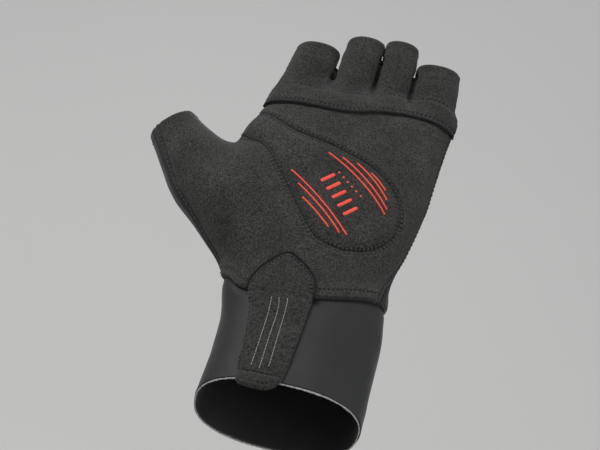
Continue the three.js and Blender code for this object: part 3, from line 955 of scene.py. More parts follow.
def sheet_of(grids, relief, thickness, gaps=None, rows=()):
    """Grids welded into one surface, raised by their relief and closed at the thickness of the cloth.

    Rows are sewn lines with the distance of their stitches. The nearest to each point gives the place of that
    point: how far it is along the line, and how far beside the stitches.
    """
    gaps = gaps or [form_gap] * len(grids)
    points = np.concatenate([grid.reshape(-1, 3) for grid in grids])
    looks = np.concatenate([outward(grid.reshape(-1, 3), gap) for grid, gap in zip(grids, gaps)])
    starts = np.cumsum([0] + [grid.shape[0] * grid.shape[1] for grid in grids])
    faces = np.concatenate([grid_cells(*grid.shape[:2]) + start for grid, start in zip(grids, starts)])
    points, faces, same = welded(points, faces)
    normals = np.zeros_like(points)
    np.add.at(normals, same, looks)
    normals /= np.linalg.norm(normals, axis=1, keepdims=True)
    faces = facing_out(faces, points, normals)
    return *walled(points, normals, relief(points), thickness, faces), sewn_places(points, rows)


def sewn_places(points, rows):
    """Where points lie along the nearest of several rows of stitches, and how far beside its stitches."""
    places = np.full((len(points), 3), UNSEWN)
    for line, distance in rows:
        away, run = nearest(points, line)
        ended = (run < ROW_TRIM) | (run > runs(line)[-1] - ROW_TRIM)
        beside_it = np.where(ended, UNSEWN, np.abs(away - distance))
        nearer = (beside_it < places[:, 1])[:, None]
        places = np.where(nearer, np.stack([run, beside_it, away], -1), places)
    return places


def walled(points, normals, raised, thickness, faces):
    """A closed sheet whose face is raised by its relief, and whose back sinks only where the face does."""
    outer = points + raised[:, None] * normals
    inner = points + (np.minimum(raised, 0) - thickness)[:, None] * normals
    return closed_sheet(outer, inner, faces)


# How high the cuff and its edging start, and how far the cuff reaches up under the palm's edge
CUFF_START = 1.0
EDGING_START = 0.3
CUFF_LAP = 3.5


def cuff_grid(low, lift, columns, rows):
    """The cuff as a tube: columns round the wrist, rows from near its edge to just above the palm seam."""
    angles = np.linspace(0, 2 * math.pi, columns, endpoint=False) - math.pi / 2
    top = round_wrist(angles, lift)[:, 2]
    share = np.linspace(0, 1, rows)
    level = low + (top[:, None] - low) * share
    lean = BODY("lean", level)
    across = np.stack([np.broadcast_to(np.cos(angles)[:, None], level.shape), np.zeros_like(level)], -1)
    depth = np.broadcast_to(np.sin(angles)[:, None], level.shape)
    ways = np.stack([across[..., 0], depth, -depth * lean], -1).reshape(-1, 3)
    forward = BODY("setback", level) + np.minimum(level, 0) * CUFF_LEAN
    middle = np.stack([np.zeros_like(level), forward, level], -1).reshape(-1, 3)
    return bisected(middle, ways, 60, form_gap).reshape(columns, rows, 3)


def tube_cells(columns, rows):
    """The cells of a grid whose last column meets its first."""
    i, j = np.meshgrid(np.arange(columns), np.arange(rows - 1), indexing="ij")
    corner, beside = (i * rows + j).ravel(), ((i + 1) % columns * rows + j).ravel()
    return np.stack([corner, beside, beside + 1, corner + 1], -1)


def tab_place(across, up):
    """A place on the tab in the front view, from its shares of the tab's width and length."""
    return TAB_CENTRE + np.asarray(across) * TAB_WIDTH, TAB_FOOT + np.asarray(up) * TAB_LENGTH


def tab_line():
    """The tab's outline on the form, from its point round by the thumb's side."""
    flat = smooth_line([tab_place(*point) for point in TAB_OUTLINE], 400, closed=True)
    return seen_from(flat[:, 0], flat[:, 1], -1)


def tab_sides(line, low):
    """The two sides of the tab's outline above a share of its length: down from its point, and up to it."""
    up = (line[:, 2] - TAB_FOOT) / TAB_LENGTH
    below = np.flatnonzero(up < low)
    return line[: below[0]], line[below[-1] + 1 :]


def tab_grid(line):
    """The tab: columns from the thumb's side to the other, rows from its foot to its pointed top."""
    ring = line[:-1]
    places = {name: np.array(tab_place(*at)) for name, at in TAB_CORNERS.items()}
    corner = {name: np.linalg.norm(ring[:, [0, 2]] - at, axis=1).argmin() for name, at in places.items()}
    first = corner["foot_left"]
    a, b, c = [(corner[name] - first) % len(ring) for name in ("foot_right", "right", "left")]
    ring = np.roll(ring, -first, axis=0)
    ring = np.concatenate([ring, ring[:1]])
    foot, right, top, left = ring[: a + 1], ring[a : b + 1], ring[b : c + 1][::-1], ring[c:][::-1]
    coarse = fitted(spaced(foot, 16), spaced(top, 16), spaced(left, 36), spaced(right, 36), -1, 60)
    return refined(coarse, crowded(90, 15, 0.5), crowded(190, 35, 0.4))


def drift(points, size, seed):
    """Smooth noise from -1 to 1: random values at the corners of a lattice, blended across each cell."""
    table = np.random.default_rng(seed).uniform(-1, 1, (64, 64, 64))
    cell = points / size
    low = np.floor(cell).astype(int)
    share = smoothstep(cell - low, 0, 1)
    total = np.zeros(len(points))
    for corner in np.ndindex(2, 2, 2):
        weight = np.prod(np.where(corner, share, 1 - share), -1)
        total += weight * table[tuple(((low + corner) % 64).T)]
    return total


def bump(distance, middle, height, width):
    """A rounded ridge, or a groove when negative, at a distance from a seam."""
    return height * np.exp(-(((distance - middle) / width) ** 2))


def rolled(distance, radius):
    """A quarter circle's drop towards an edge."""
    inside = np.clip(1 - distance / radius, 0, 1)
    return -radius * (1 - np.sqrt(1 - inside**2))


def puckers(distance, run, pitch, height, middle, width, seed=0):
    """Small gathers across a seam, one for each stitch, whose spacing wanders a little."""
    rng = np.random.default_rng(seed)
    wander = np.interp(run, np.linspace(0, 400, 80), rng.uniform(-0.35, 0.35, 80) * pitch)
    strength = np.interp(run, np.linspace(0, 400, 60), rng.uniform(0.55, 1.2, 60))
    return strength * np.cos(2 * math.pi * (run + wander) / pitch) * bump(distance, middle, height, width)


def soft_folds(points, seed):
    """The broad unevenness of worn cloth: slow swells with weaker, finer ones over them."""
    swells = ((0.32, 17), (0.14, 7), (0.05, 3))
    return sum(height * drift(points, size, seed + k) for k, (height, size) in enumerate(swells))


def palm_relief(seams):
    """Heights of the palm panel above the form: grooves at its seams, swells beside them and soft folds."""
    sides = joined(seams.thumb_web[::-1], seams.pad_side, seams.strip_side)
    rim = seams.thumb_rim_front

    def heights(points):
        pad, pad_run = nearest(points, seams.pad)
        ledge, _ = nearest(points, seams.hem_line)
        heel, heel_run = nearest(points, seams.palm_front)
        outer, outer_run = nearest(points, joined(seams.ulnar_side, seams.palm_front[-1:]))
        thumb, thumb_run = nearest(points, seams.thumb_outer)
        web, _ = nearest(points, sides)
        hem, hem_run = nearest(points, rim)
        rise = soft_folds(points, 11) * smoothstep(np.minimum(pad, np.minimum(heel, hem)), 1, 8)
        rise += bump(pad, 0, -0.6, 0.5) + bump(pad, 2.9, 0.28, 1.3)
        rise += puckers(pad, pad_run, STITCH, 0.26, PAD_ROW, 0.9, 1)
        rise += bump(ledge, 0, -0.8, 0.9)
        rise += 0.95 * (1 - smoothstep(heel, 3, 9)) * smoothstep(np.minimum(thumb, outer), 0, 5)
        rise += rolled(heel, 1.0) + bump(heel, HEEL_ROW, -0.3, 0.5)
        rise += puckers(heel, heel_run, STITCH, 0.16, HEEL_ROW, 1.2, 2)
        for side, run, seed in ((outer, outer_run, 3), (thumb, thumb_run, 4)):
            rise += bump(side, 0, -0.6, 0.7) + bump(side, 1.6, 0.5, 0.8) + bump(side, 3.1, -0.3, 0.7)
            rise += bump(side, 4.6, 0.25, 0.9) + puckers(side, run, 2.6, 0.1, 1.6, 1.2, seed)
        rise += bump(web, 0, -0.5, 0.6) + bump(web, 1.6, 0.2, 0.9)
        rise += rolled(hem, 0.7) + puckers(hem, hem_run, 2.4, 0.07, 1.0, 1.4, 5)
        return rise

    return heights


def pad_relief(seams):
    """Heights of the pad: it swells inside its seam, and its foot is finely wrinkled."""

    def heights(points):
        seam, run = nearest(points, seams.pad)
        side, _ = nearest(points, seams.pad_side)
        swell = 1 - np.exp(-((seam / 3.4) ** 2))
        rise = bump(seam, 0, -0.6, 0.5) + 1.2 * swell * smoothstep(side, 0, 9)
        rise += puckers(seam, run, STITCH, 0.26, PAD_ROW, 0.9, 1) + bump(side, 0, -0.5, 0.6)
        slanted = points @ np.array([[0.9, 0, 0.45], [0, 1, 0], [-0.45, 0, 0.9]])
        slanted /= np.array([1.0, 1.0, 2.6])
        low = 1 - smoothstep(points[:, 2], 84, 118)
        wrinkles = 0.26 * drift(slanted, 1.5, 21) + 0.14 * drift(points, 1.1, 22)
        rise += low * smoothstep(seam, 0.5, 4) * wrinkles
        rise += smoothstep(seam, 1, 6) * (0.22 * drift(points, 13, 23) + 0.08 * drift(points, 5, 24))
        return rise

    return heights


def finger_relief(seams, side):
    """Heights of the finger panel (side -1), with its folded foot, or of the back (side 1) at its stalls."""
    rims = [edges["rim_front" if side < 0 else "rim_back"] for edges in seams.stalls]
    valleys = [seams.valley(k, side) for k in range(len(CROTCHES))]
    left, right = seams.stalls[0]["left"], seams.stalls[-1]["right"]
    if side > 0:
        left = joined(seams.pad_side, seams.strip_side, left)
        right = joined(seams.ulnar_side[::-1], right)

    def heights(points):
        rise = soft_folds(points, 31 + side)
        for line in (left, right):
            away, run = nearest(points, line)
            rise += bump(away, 0, -0.6, 0.7) + bump(away, 1.9, 0.3, 1.0)
            rise += puckers(away, run, 3.1, 0.06, 1.6, 1.0, 6)
        rim = np.min([nearest(points, line)[0] for line in rims], axis=0)
        rise += rolled(rim, 0.7) + bump(rim, 1.6, 0.16, 1.0) + bump(rim, HEM_ROW, -0.12, 0.5)
        for line in valleys:
            away, _ = nearest(points, line)
            rise += bump(away, 0, -1.8, 1.4) * smoothstep(points[:, 2], CROTCH - 14, CROTCH - 4)
        if side > 0:
            seam, _ = nearest(points, seams.palm_back)
            join, _ = nearest(points, seams.thumb_join)
            rise += 0.6 * (1 - smoothstep(seam, 3, 9)) * smoothstep(join, 0, 5)
            rise += rolled(seam, 1.0) + bump(seam, HEEL_ROW, -0.2, 0.5)
            rise += bump(join, 0, -0.6, 0.7) + bump(join, 1.9, 0.3, 1.0)
            return rise
        ledge, run = nearest(points, seams.hem_line)
        gather = smoothstep(-points[:, 0], -30, 20)
        rise += 1.2 * (1 - smoothstep(ledge, 9, 15)) + rolled(ledge, 0.8) + bump(ledge, 5.5, 0.2, 3)
        rise += bump(ledge, LEDGE_ROW, -0.25, 0.6)
        rise += (0.45 + 0.55 * gather) * puckers(ledge, run, STITCH, 0.26, LEDGE_ROW - 0.3, 1.2, 7)
        rise += bump(ledge, HEM_WIDTH, -0.25, 0.6) + puckers(ledge, run, STITCH, 0.12, HEM_WIDTH, 1.0, 8)
        return rise

    return heights


def thumb_back_relief(seams):
    """Heights of the thumb's back: seams round it and soft folds."""

    def heights(points):
        rise = soft_folds(points, 41) * 0.8
        for line in (seams.thumb_join, seams.thumb_outer, seams.thumb_web):
            away, _ = nearest(points, line)
            rise += bump(away, 0, -0.6, 0.7) + bump(away, 1.8, 0.25, 1.0)
        rim, _ = nearest(points, seams.thumb_rim_back)
        return rise + rolled(rim, 0.7)

    return heights


def cuff_relief(points):
    """Heights of the cuff: drawn in under the palm seam, with slow folds."""
    below = seam_height(points[:, 0]) - points[:, 2]
    rise = -1.5 * (1 - smoothstep(below, -0.5, 4.5))
    stretched = points / np.array([1.0, 1.0, 2.4])
    rise += smoothstep(below, 3, 12) * (0.35 * drift(stretched, 12, 51) + 0.16 * drift(points, 6, 52))
    return rise


def tab_base(points):
    """How far the tab's underside stands off the form: on the cuff, and over the palm's folded edge."""
    return 0.35 + 1.0 * smoothstep(points[:, 2], 42, 56)


def tab_relief(line):
    """Heights of the tab's face above its underside: rolled edges, gathered stitches and coarse sides."""

    def heights(points):
        edge, run = nearest(points, line)
        across = (points[:, 0] - TAB_CENTRE) / TAB_WIDTH
        up = (points[:, 2] - TAB_FOOT) / TAB_LENGTH
        height = up * TAB_LENGTH
        rise = 1.9 + rolled(edge, 1.2) + bump(edge, 1.7, -0.3, 0.5)
        rise += puckers(edge, run, STITCH, 0.14, 1.2, 0.9, 9)
        free = smoothstep(up, 0.1, 0.2) * (1 - smoothstep(up, 0.62, 0.8))
        sides = smoothstep(np.abs(across), 0.18, 0.42) * free
        rise += (0.06 + 0.3 * sides) * drift(points, 1.25, 61) + 0.25 * drift(points, 9, 62)
        fold = bump(height, 6.1, -0.45, 0.7) + 0.5 * (1 - smoothstep(height, 5.1, 6.6))
        rise += fold * smoothstep(edge, 0.5, 3)
        rise += bump(height, 47.5, -0.25, 1.2) * smoothstep(edge, 0.5, 4)
        return rise

    return heights


def beside(line, distance, gap=form_gap):
    """A line moved along the form, to the left of its own way when seen from outside."""
    ways = np.cross(outward(line, gap), np.gradient(line, axis=0))
    ways /= np.maximum(np.linalg.norm(ways, axis=1, keepdims=True), 1e-9)
    return settled(line + distance * ways, 2, gap=gap)


def rods(centres, normals, profile, girths):
    """Closed rods: a profile of an even number of points carried along rows of centres, their ends filled."""
    count, stations, _ = centres.shape
    around = len(profile)
    along = np.gradient(centres, axis=1)
    sides = np.cross(normals, along)
    sides /= np.linalg.norm(sides, axis=-1, keepdims=True)
    ups = np.cross(along, sides)
    ups /= np.linalg.norm(ups, axis=-1, keepdims=True)
    spread = profile[:, 0, None] * sides[:, :, None] + profile[:, 1, None] * ups[:, :, None]
    points = centres[:, :, None] + girths[..., None, None] * spread
    first = np.arange(count)[:, None, None] * stations * around
    s, k = np.meshgrid(np.arange(stations - 1), np.arange(around), indexing="ij")
    corner, beyond = s * around + k, s * around + (k + 1) % around
    walls = np.stack([corner, beyond, beyond + around, corner + around], -1).reshape(1, -1, 4)
    j = np.arange(around // 2 - 1)
    cap = np.stack([j, j + 1, around - 2 - j, around - 1 - j], -1)[None]
    far = cap + (stations - 1) * around
    faces = np.concatenate([walls + first, cap[..., ::-1] + first, far + first], 1)
    return points.reshape(-1, 3), faces.reshape(-1, 4)


def read_at(line, places):
    """Points of a line at the given runs."""
    return np.stack([np.interp(places, runs(line), line[:, k]) for k in range(3)], -1)


THREAD_PROFILE = np.array([(math.cos(a), math.sin(a)) for a in np.radians(np.arange(0, 360, 60))])


def stitches(line, heights, pitch, radius, share=0.72, sunk=1.3, gap=form_gap, seed=0):
    """A row of stitches along a line: each a thread that leaves one needle hole and dives into the next."""
    rng = np.random.default_rng(seed)
    count = int((runs(line)[-1] - 2 * ROW_TRIM) // pitch)
    reach = np.array([-0.5, -0.3, 0.0, 0.3, 0.5]) * share * pitch
    middles = ROW_TRIM + (np.arange(count) + 0.5 + rng.uniform(-0.06, 0.06, count)) * pitch
    spots = read_at(line, middles[:, None] + reach)
    normals = outward(spots, gap)
    dive = radius * np.array([-sunk, 0.0, 0.35, 0.0, -sunk])
    lift = heights(spots.reshape(-1, 3)).reshape(count, 5) + dive
    skew = np.cross(normals, np.gradient(spots, axis=1))
    skew *= rng.uniform(-0.12, 0.12, (count, 1, 1)) * np.array([-1, -0.6, 0, 0.6, 1])[:, None]
    girths = radius * np.array([0.6, 1, 1.05, 1, 0.6]) * rng.uniform(0.85, 1.15, (count, 1))
    return rods(spots + skew + lift[..., None] * normals, normals, THREAD_PROFILE, girths)


def gathered(parts):
    """Several shapes as one list of points and one of faces."""
    starts = np.cumsum([0] + [len(points) for points, _ in parts])
    faces = [faces + start for (_, faces), start in zip(parts, starts)]
    return np.concatenate([points for points, _ in parts]), np.concatenate(faces)


# Printed stripes: where each starts and ends, as shares of the palm's width and length, and how far it bows
STRIPES = (
    ((-0.055, 0.576), (0.284, 0.357), 0.06),
    ((0.018, 0.572), (0.290, 0.382), 0.05),
    ((0.099, 0.561), (0.281, 0.423), 0.045),
    ((0.178, 0.531), (0.266, 0.466), 0.03),
    ((-0.218, 0.453), (0.121, 0.219), 0.04),
    ((-0.168, 0.398), (0.085, 0.220), 0.035),
    ((-0.132, 0.342), (0.027, 0.234), 0.02),
)
BAR_ROW = ((-0.03, 0.458), (0.115, 0.329))
DOT_ROW = ((0.02, 0.494), (0.15, 0.41))
BARS = 5
DOTS = 6

# How far the ink stands off the suede, in millimetres
STRIPE_RISE = 0.14
BAR_RISE = 0.2
DOT_RISE = 0.15


def front_place(across, up):
    """A place in the front view from its shares of the palm's width and length."""
    return np.array([across * PALM_WIDTH, CUFF_LENGTH + up * PALM_LENGTH])


def bowed(start, end, bow, count):
    """A shallow arc between two places, its middle moved to its left by a share of its length."""
    start, end = front_place(*start), front_place(*end)
    t = np.linspace(0, 1, count)[:, None]
    left = np.array([start[1] - end[1], end[0] - start[0]])
    return start + t * (end - start) + 4 * bow * t * (1 - t) * left


def printed(flat, width, height, heights):
    """A raised printed stroke with round ends along a line of the front view, lens-shaped across."""
    line = seen_from(flat[:, 0], flat[:, 1], -1)
    run = runs(line)
    spots = read_at(line, run[-1] * (0.5 - 0.5 * np.cos(np.linspace(0, math.pi, len(flat)))))
    run = runs(spots)
    into = np.clip(1 - np.minimum(run, run[-1] - run) / (width / 2), 0, 1)
    girths = width / 2 * np.sqrt(np.maximum(1 - into**2, 0.01))
    normals = outward(spots)
    centres = spots + heights(spots)[:, None] * normals
    angles = np.radians(np.arange(0, 181, 36))
    dome = np.stack([np.cos(angles), 2 * height / width * np.sin(angles)], -1)
    profile = np.concatenate([dome, [(-0.8, -0.2), (0.8, -0.2)]])
    return rods(centres[None], normals[None], profile, girths[None])


def edging_ring(columns, width, seed):
    """The pale raw edge of the cuff: a ragged roll round its rim, its girth changed by noise."""
    grid = cuff_grid(EDGING_START, 0.0, columns, 40)
    rim = grid[:, 0]
    normals = outward(rim)
    down = np.cross(normals, np.roll(rim, -1, 0) - np.roll(rim, 1, 0))
    down /= np.linalg.norm(down, axis=1, keepdims=True)
    around = 14
    turn = np.linspace(0, 2 * math.pi, around, endpoint=False)[:, None]
    ring = np.cos(turn) * normals[:, None] * 0.62 + np.sin(turn) * down[:, None] * 0.8
    middle = rim - 0.5 * normals
    points = middle[:, None] + width * ring
    flat = points.reshape(-1, 3)
    ragged = drift(flat, 0.7, seed) + 0.6 * drift(flat, 1.9, seed + 1)
    points = points + 0.34 * width * ragged.reshape(columns, around, 1) * ring
    i, j = np.meshgrid(np.arange(columns), np.arange(around), indexing="ij")
    here, next_one = i * around, (i + 1) % columns * around
    above = (j + 1) % around
    faces = np.stack([here + j, next_one + j, next_one + above, here + above], -1).reshape(-1, 4)
    flat = points.reshape(-1, 3)
    return flat, facing_out(faces, flat, (points - middle[:, None]).reshape(-1, 3))


def linear(colour):
    """An sRGB hex colour as linear red, green, blue and alpha."""
    shares = np.array([int(colour[i : i + 2], 16) for i in (1, 3, 5)]) / 255
    shares = np.where(shares < 0.04045, shares / 12.92, ((shares + 0.055) / 1.055) ** 2.4)
    return (*shares.tolist(), 1.0)


def shaded(colour, share):
    """A colour made darker or lighter by a share."""
    return tuple(min(c * share, 1) for c in colour[:3]) + (1.0,)


def add(tree, kind, inputs=(), **settings):
    """One shader node with its settings; each input is a value for its socket or another node's output."""
    made = tree.nodes.new("ShaderNode" + kind)
    for name, value in settings.items():
        setattr(made, name, value)
    for socket, value in dict(inputs).items():
        if isinstance(value, bpy.types.NodeSocket):
            tree.links.new(value, made.inputs[socket])
        else:
            made.inputs[socket].default_value = value
    return made


def material(name):
    """A new material with its shader and its Object coordinates."""
    made = bpy.data.materials.new(name)
    made.use_nodes = True
    tree = made.node_tree
    return made, tree, tree.nodes["Principled BSDF"], add(tree, "TexCoord").outputs["Object"]


def per_mm(size):
    """The scale of a noise in Object coordinates whose features are about this many millimetres wide."""
    return 1 / (size * MM)


def multiplied(tree, colour, tone):
    """A colour made darker or lighter by a tone that changes over the surface."""
    grey = add(tree, "CombineColor", {0: tone, 1: tone, 2: tone})
    inputs = {0: 1.0, 6: colour, 7: grey.outputs[0]}
    return add(tree, "Mix", inputs, data_type="RGBA", blend_type="MULTIPLY").outputs[2]


def surfaced(tree, shader, colour, height, strength, depth):
    """Links a shader's colour, and bumps of a strength and of a depth in millimetres."""
    tree.links.new(colour, shader.inputs["Base Color"])
    bumps = add(tree, "Bump", {"Height": height, "Strength": strength, "Distance": depth * MM})
    tree.links.new(bumps.outputs[0], shader.inputs["Normal"])


def glossed(shader, roughness, specular=0.5, sheen=0.0, sheen_roughness=0.5):
    """Sets how rough and how glossy a surface is, the same all over."""
    shader.inputs["Roughness"].default_value = roughness
    shader.inputs["Specular IOR Level"].default_value = specular
    shader.inputs["Sheen Weight"].default_value = sheen
    shader.inputs["Sheen Roughness"].default_value = sheen_roughness


def needle_holes(tree):
    """How deep a point lies in a needle hole: waves along the sewn row, fading to both sides of it."""
    places = add(tree, "Attribute", attribute_name="sewn").outputs["Vector"]
    run, away, _ = add(tree, "SeparateXYZ", {0: places}).outputs
    turn = add(tree, "Math", {0: run, 1: 2 * math.pi / STITCH}, operation="MULTIPLY")
    wave = add(tree, "Math", {0: turn.outputs[0]}, operation="COSINE")
    along = add(tree, "MapRange", {0: wave.outputs[0], 1: -0.35, 2: 0.6, 3: 0.0, 4: 1.0})
    across = add(tree, "MapRange", {0: away, 1: 0.35, 2: 0.95, 3: 1.0, 4: 0.0})
    holes = add(tree, "Math", {0: along.outputs[0], 1: across.outputs[0]}, operation="MULTIPLY")
    return holes.outputs[0]


def suede(name, colour, grain=0.9, seed=0.0):
    """Synthetic suede, knitted, soaked and finished by brushing: short nap that looks cloudy where it lies
    differently, and painted shade in its needle holes.
    """
    made, tree, shader, at = material(name)
    shifted = add(tree, "Mapping", {"Vector": at, "Location": (seed, 0, 0)}).outputs["Vector"]
    grains = {"Vector": shifted, "Scale": per_mm(grain), "Detail": 3.0, "Roughness": 0.8}
    nap = add(tree, "TexNoise", grains)
    fibre = add(tree, "TexNoise", grains | {"Scale": per_mm(0.55), "Detail": 2.0})
    speckle = add(tree, "Math", {0: nap.outputs[0], 1: fibre.outputs[0]}, operation="ADD")
    shade = add(tree, "MapRange", {0: speckle.outputs[0], 1: 0.87, 2: 1.14, 3: 0.0, 4: 1.0})
    inputs = {0: shade.outputs[0], 6: shaded(colour, 0.22), 7: shaded(colour, 2.05)}
    flecked = add(tree, "Mix", inputs, data_type="RGBA")
    clouds = add(tree, "TexNoise", grains | {"Scale": per_mm(16), "Roughness": 0.55})
    worn = add(tree, "MapRange", {0: clouds.outputs[0], 1: 0.3, 2: 0.7, 3: 0.72, 4: 1.28})
    pits = needle_holes(tree)
    # Painted shade: the colour falls to about an eighth inside the needle holes, where shade falls, besides
    # the bump that sinks them
    painted_hole_shade = add(tree, "MapRange", {0: pits, 1: 0.0, 2: 1.0, 3: 1.0, 4: 0.12})
    tone = add(tree, "Math", {0: worn.outputs[0], 1: painted_hole_shade.outputs[0]}, operation="MULTIPLY")
    tinted = multiplied(tree, flecked.outputs[2], tone.outputs[0])
    sunk = add(tree, "Math", {0: speckle.outputs[0], 1: pits}, operation="SUBTRACT")
    surfaced(tree, shader, tinted, sunk.outputs[0], strength=0.8, depth=0.4)
    glossed(shader, 0.92, specular=0.25, sheen=0.12, sheen_roughness=0.55)
    return made


def stretch_twill(name, colour):
    """Polyamide and elastane twill, dyed in the piece: smooth, with a faint gloss, and slanting ribs whose
    tops are painted lighter: the weave's pattern together with a painted highlight along them.

    Its ribs lie about 0.6 mm apart, and are drawn 0.9 mm apart, so that they show in the picture.
    """
    made, tree, shader, at = material(name)
    turned = add(tree, "Mapping", {"Vector": at, "Rotation": (0, math.radians(34), 0)}).outputs["Vector"]
    rib_scale = math.pi / 10 * per_mm(0.9)
    inputs = {"Vector": turned, "Scale": rib_scale, "Distortion": 0.8, "Detail Scale": 2.0}
    ribs = add(tree, "TexWave", inputs, bands_direction="X")
    yarns = add(tree, "TexNoise", {"Vector": at, "Scale": per_mm(0.45), "Detail": 2.0, "Roughness": 0.7})
    height = add(tree, "Math", {0: ribs.outputs[1], 1: yarns.outputs[0]}, operation="MULTIPLY")
    # Painted highlight: raised rib tops are coloured lighter and the hollows darker, over the twill's own
    # pattern
    tone = add(tree, "MapRange", {0: height.outputs[0], 1: 0.05, 2: 0.55, 3: 0.0, 4: 1.0})
    inputs = {0: tone.outputs[0], 6: shaded(colour, 0.6), 7: shaded(colour, 1.4)}
    weave_and_highlight = add(tree, "Mix", inputs, data_type="RGBA")
    clouds = add(tree, "TexNoise", {"Vector": at, "Scale": per_mm(20), "Detail": 2.0})
    worn = add(tree, "MapRange", {0: clouds.outputs[0], 1: 0.3, 2: 0.7, 3: 0.85, 4: 1.15})
    tinted = multiplied(tree, weave_and_highlight.outputs[2], worn.outputs[0])
    surfaced(tree, shader, tinted, height.outputs[0], strength=0.4, depth=0.12)
    glossed(shader, 0.62, specular=0.4, sheen=0.1, sheen_roughness=0.4)
    return made


def grained(tree, at, grain, rough, dark, light):
    """Noise of a grain's width, and the colour that it mixes from a darker and a lighter one."""
    inputs = {"Vector": at, "Scale": per_mm(grain), "Detail": 3.0, "Roughness": rough}
    height = add(tree, "TexNoise", inputs).outputs[0]
    shade = add(tree, "MapRange", {0: height, 1: 0.35, 2: 0.65, 3: 0.0, 4: 1.0})
    mixed = add(tree, "Mix", {0: shade.outputs[0], 6: dark, 7: light}, data_type="RGBA")
    return height, mixed.outputs[2]


def yarn(name, colour, size, roughness):
    """Twisted polyester, dull where its fibres stand out: sewing thread, a raw frayed edge, or a near-black
    roll of painted shadow.
    """
    made, tree, shader, at = material(name)
    fibres, mixed = grained(tree, at, size, 0.7, shaded(colour, 0.55), shaded(colour, 1.35))
    surfaced(tree, shader, mixed, fibres, strength=0.6, depth=0.2)
    glossed(shader, roughness)
    return made


def silicone_ink(name, colour):
    """Silicone ink, screen printed and cured: a soft satin film that follows the nap a little."""
    made, tree, shader, at = material(name)
    nap, mixed = grained(tree, at, 0.9, 0.6, shaded(colour, 0.85), colour)
    surfaced(tree, shader, mixed, nap, strength=0.3, depth=0.1)
    glossed(shader, 0.5)
    return made


def painted_board(name, colour):
    """Matt painted board behind and below: even, with faint clouds so that it doesn't look cut out."""
    made, tree, shader, at = material(name)
    clouds = add(tree, "TexNoise", {"Vector": at, "Scale": per_mm(700), "Detail": 2.0})
    inputs = {0: clouds.outputs[0], 6: shaded(colour, 0.96), 7: colour}
    mixed = add(tree, "Mix", inputs, data_type="RGBA")
    tree.links.new(mixed.outputs[2], shader.inputs["Base Color"])
    glossed(shader, 0.95, specular=0.2)
    return made


def length(name, description, size):
    """A setting that is a length, from its size in millimetres."""
    return bpy.props.FloatProperty(name=name, description=description, default=size * MM, unit="LENGTH")


def tint(name, description, colour):
    """A setting that is a colour, from its sRGB hex value."""
    return bpy.props.FloatVectorProperty(
        name=name, description=description, size=4, subtype="COLOR", default=linear(colour)
    )


class GloveCloth(bpy.types.PropertyGroup):
    """The thicknesses and colours of suede, cloth and edging, and the near-black colour of the rolls that
    paint shadow under edges.
    """

    suede_thickness: length("Suede thickness", "Thickness of the suede panels", 1.2)
    cloth_thickness: length("Cloth thickness", "Thickness of the stretch cloth", 1.0)
    edging_width: length("Edging width", "Half thickness of the cuff's raw edge", 0.5)
    suede: tint("Suede", "Colour of the suede", "#2b2a28")
    cloth: tint("Cloth", "Colour of the stretch cloth", "#222222")
    edging: tint("Edging", "Colour of the cuff's raw edge", "#9a9b98")
    # Painted shadow: near-black colour of the rolls laid along the ledge and the tab's top edge in place of
    # the shadow there
    shadow_tint: tint("Painted shadow", "Colour of the dark rolls that paint shadow under edges", "#0c0b0b")


class GloveSewing(bpy.types.PropertyGroup):
    """The threads and their stitches."""

    pitch: length("Stitch pitch", "Length of one stitch with its gap", STITCH)
    radius: length("Thread radius", "Half the thread's thickness", 0.25)
    pale_radius: length("Pale thread radius", "Half the thickness of the tab's lines", 0.18)
    thread: tint("Thread", "Colour of the sewing thread", "#363534")
    pale_thread: tint("Pale thread", "Colour of the tab's lines", "#8b8d8c")


class GlovePrint(bpy.types.PropertyGroup):
    """The raised print on the pad."""

    stroke: length("Stroke", "Width of the printed stripes", 0.8)
    bar: length("Bar", "Width of the broad printed bars", 1.7)
    bar_length: length("Bar length", "Length of the broad printed bars", 8.0)
    dot: length("Dot", "Width of the printed dots", 1.1)
    ink: tint("Ink", "Colour of the print", "#f0452f")


@functools.lru_cache(maxsize=None)
def sewn_seams():
    """The glove's seams, worked out once."""
    return Seams()


@functools.lru_cache(maxsize=None)
def tab_edge():
    """The tab's outline, worked out once."""
    return tab_line()


def finish(name, shape, made, slot, *nodes):
    """A finished piece: its mesh with its material, riding on the glove in place of its nodes; the slot is
    not used.
    """
    piece = mesh_object(name, *shape)
    piece.data.materials.append(made)
    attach(piece, "root")
    if nodes:
        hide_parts(*nodes)
    return piece


class GLOVE_OT_palm(bpy.types.Operator):
    """Build the suede palm, round the pad and out along the thumb."""

    bl_idname = "glove.palm"
    bl_label = "Palm"

    def execute(self, context):
        cloth = context.scene.glove_cloth
        seams = sewn_seams()
        rows = [(seams.pad, PAD_ROW), (seams.palm_front, HEEL_ROW)]
        rows += [(side, SIDE_HOLES) for side in (seams.thumb_outer, seams.ulnar_side)]
        thickness = cloth.suede_thickness / MM
        shape = sheet_of([palm_grid(seams)], palm_relief(seams), thickness, rows=rows)
        piece = finish("palm", shape, suede("Palm suede", cloth.suede), "suede", "palm_panel")
        return {"FINISHED"}


class GLOVE_OT_pad(bpy.types.Operator):
    """Build the padded panel let into the palm."""

    bl_idname = "glove.pad"
    bl_label = "Pad"

    def execute(self, context):
        cloth = context.scene.glove_cloth
        seams = sewn_seams()
        thickness = cloth.suede_thickness / MM
        shape = sheet_of([pad_grid(seams)], pad_relief(seams), thickness, rows=[(seams.pad, PAD_ROW)])
        made = suede("Pad suede", cloth.suede, grain=1.0, seed=0.5)
        piece = finish("pad", shape, made, "suede", "pad_panel")
        return {"FINISHED"}


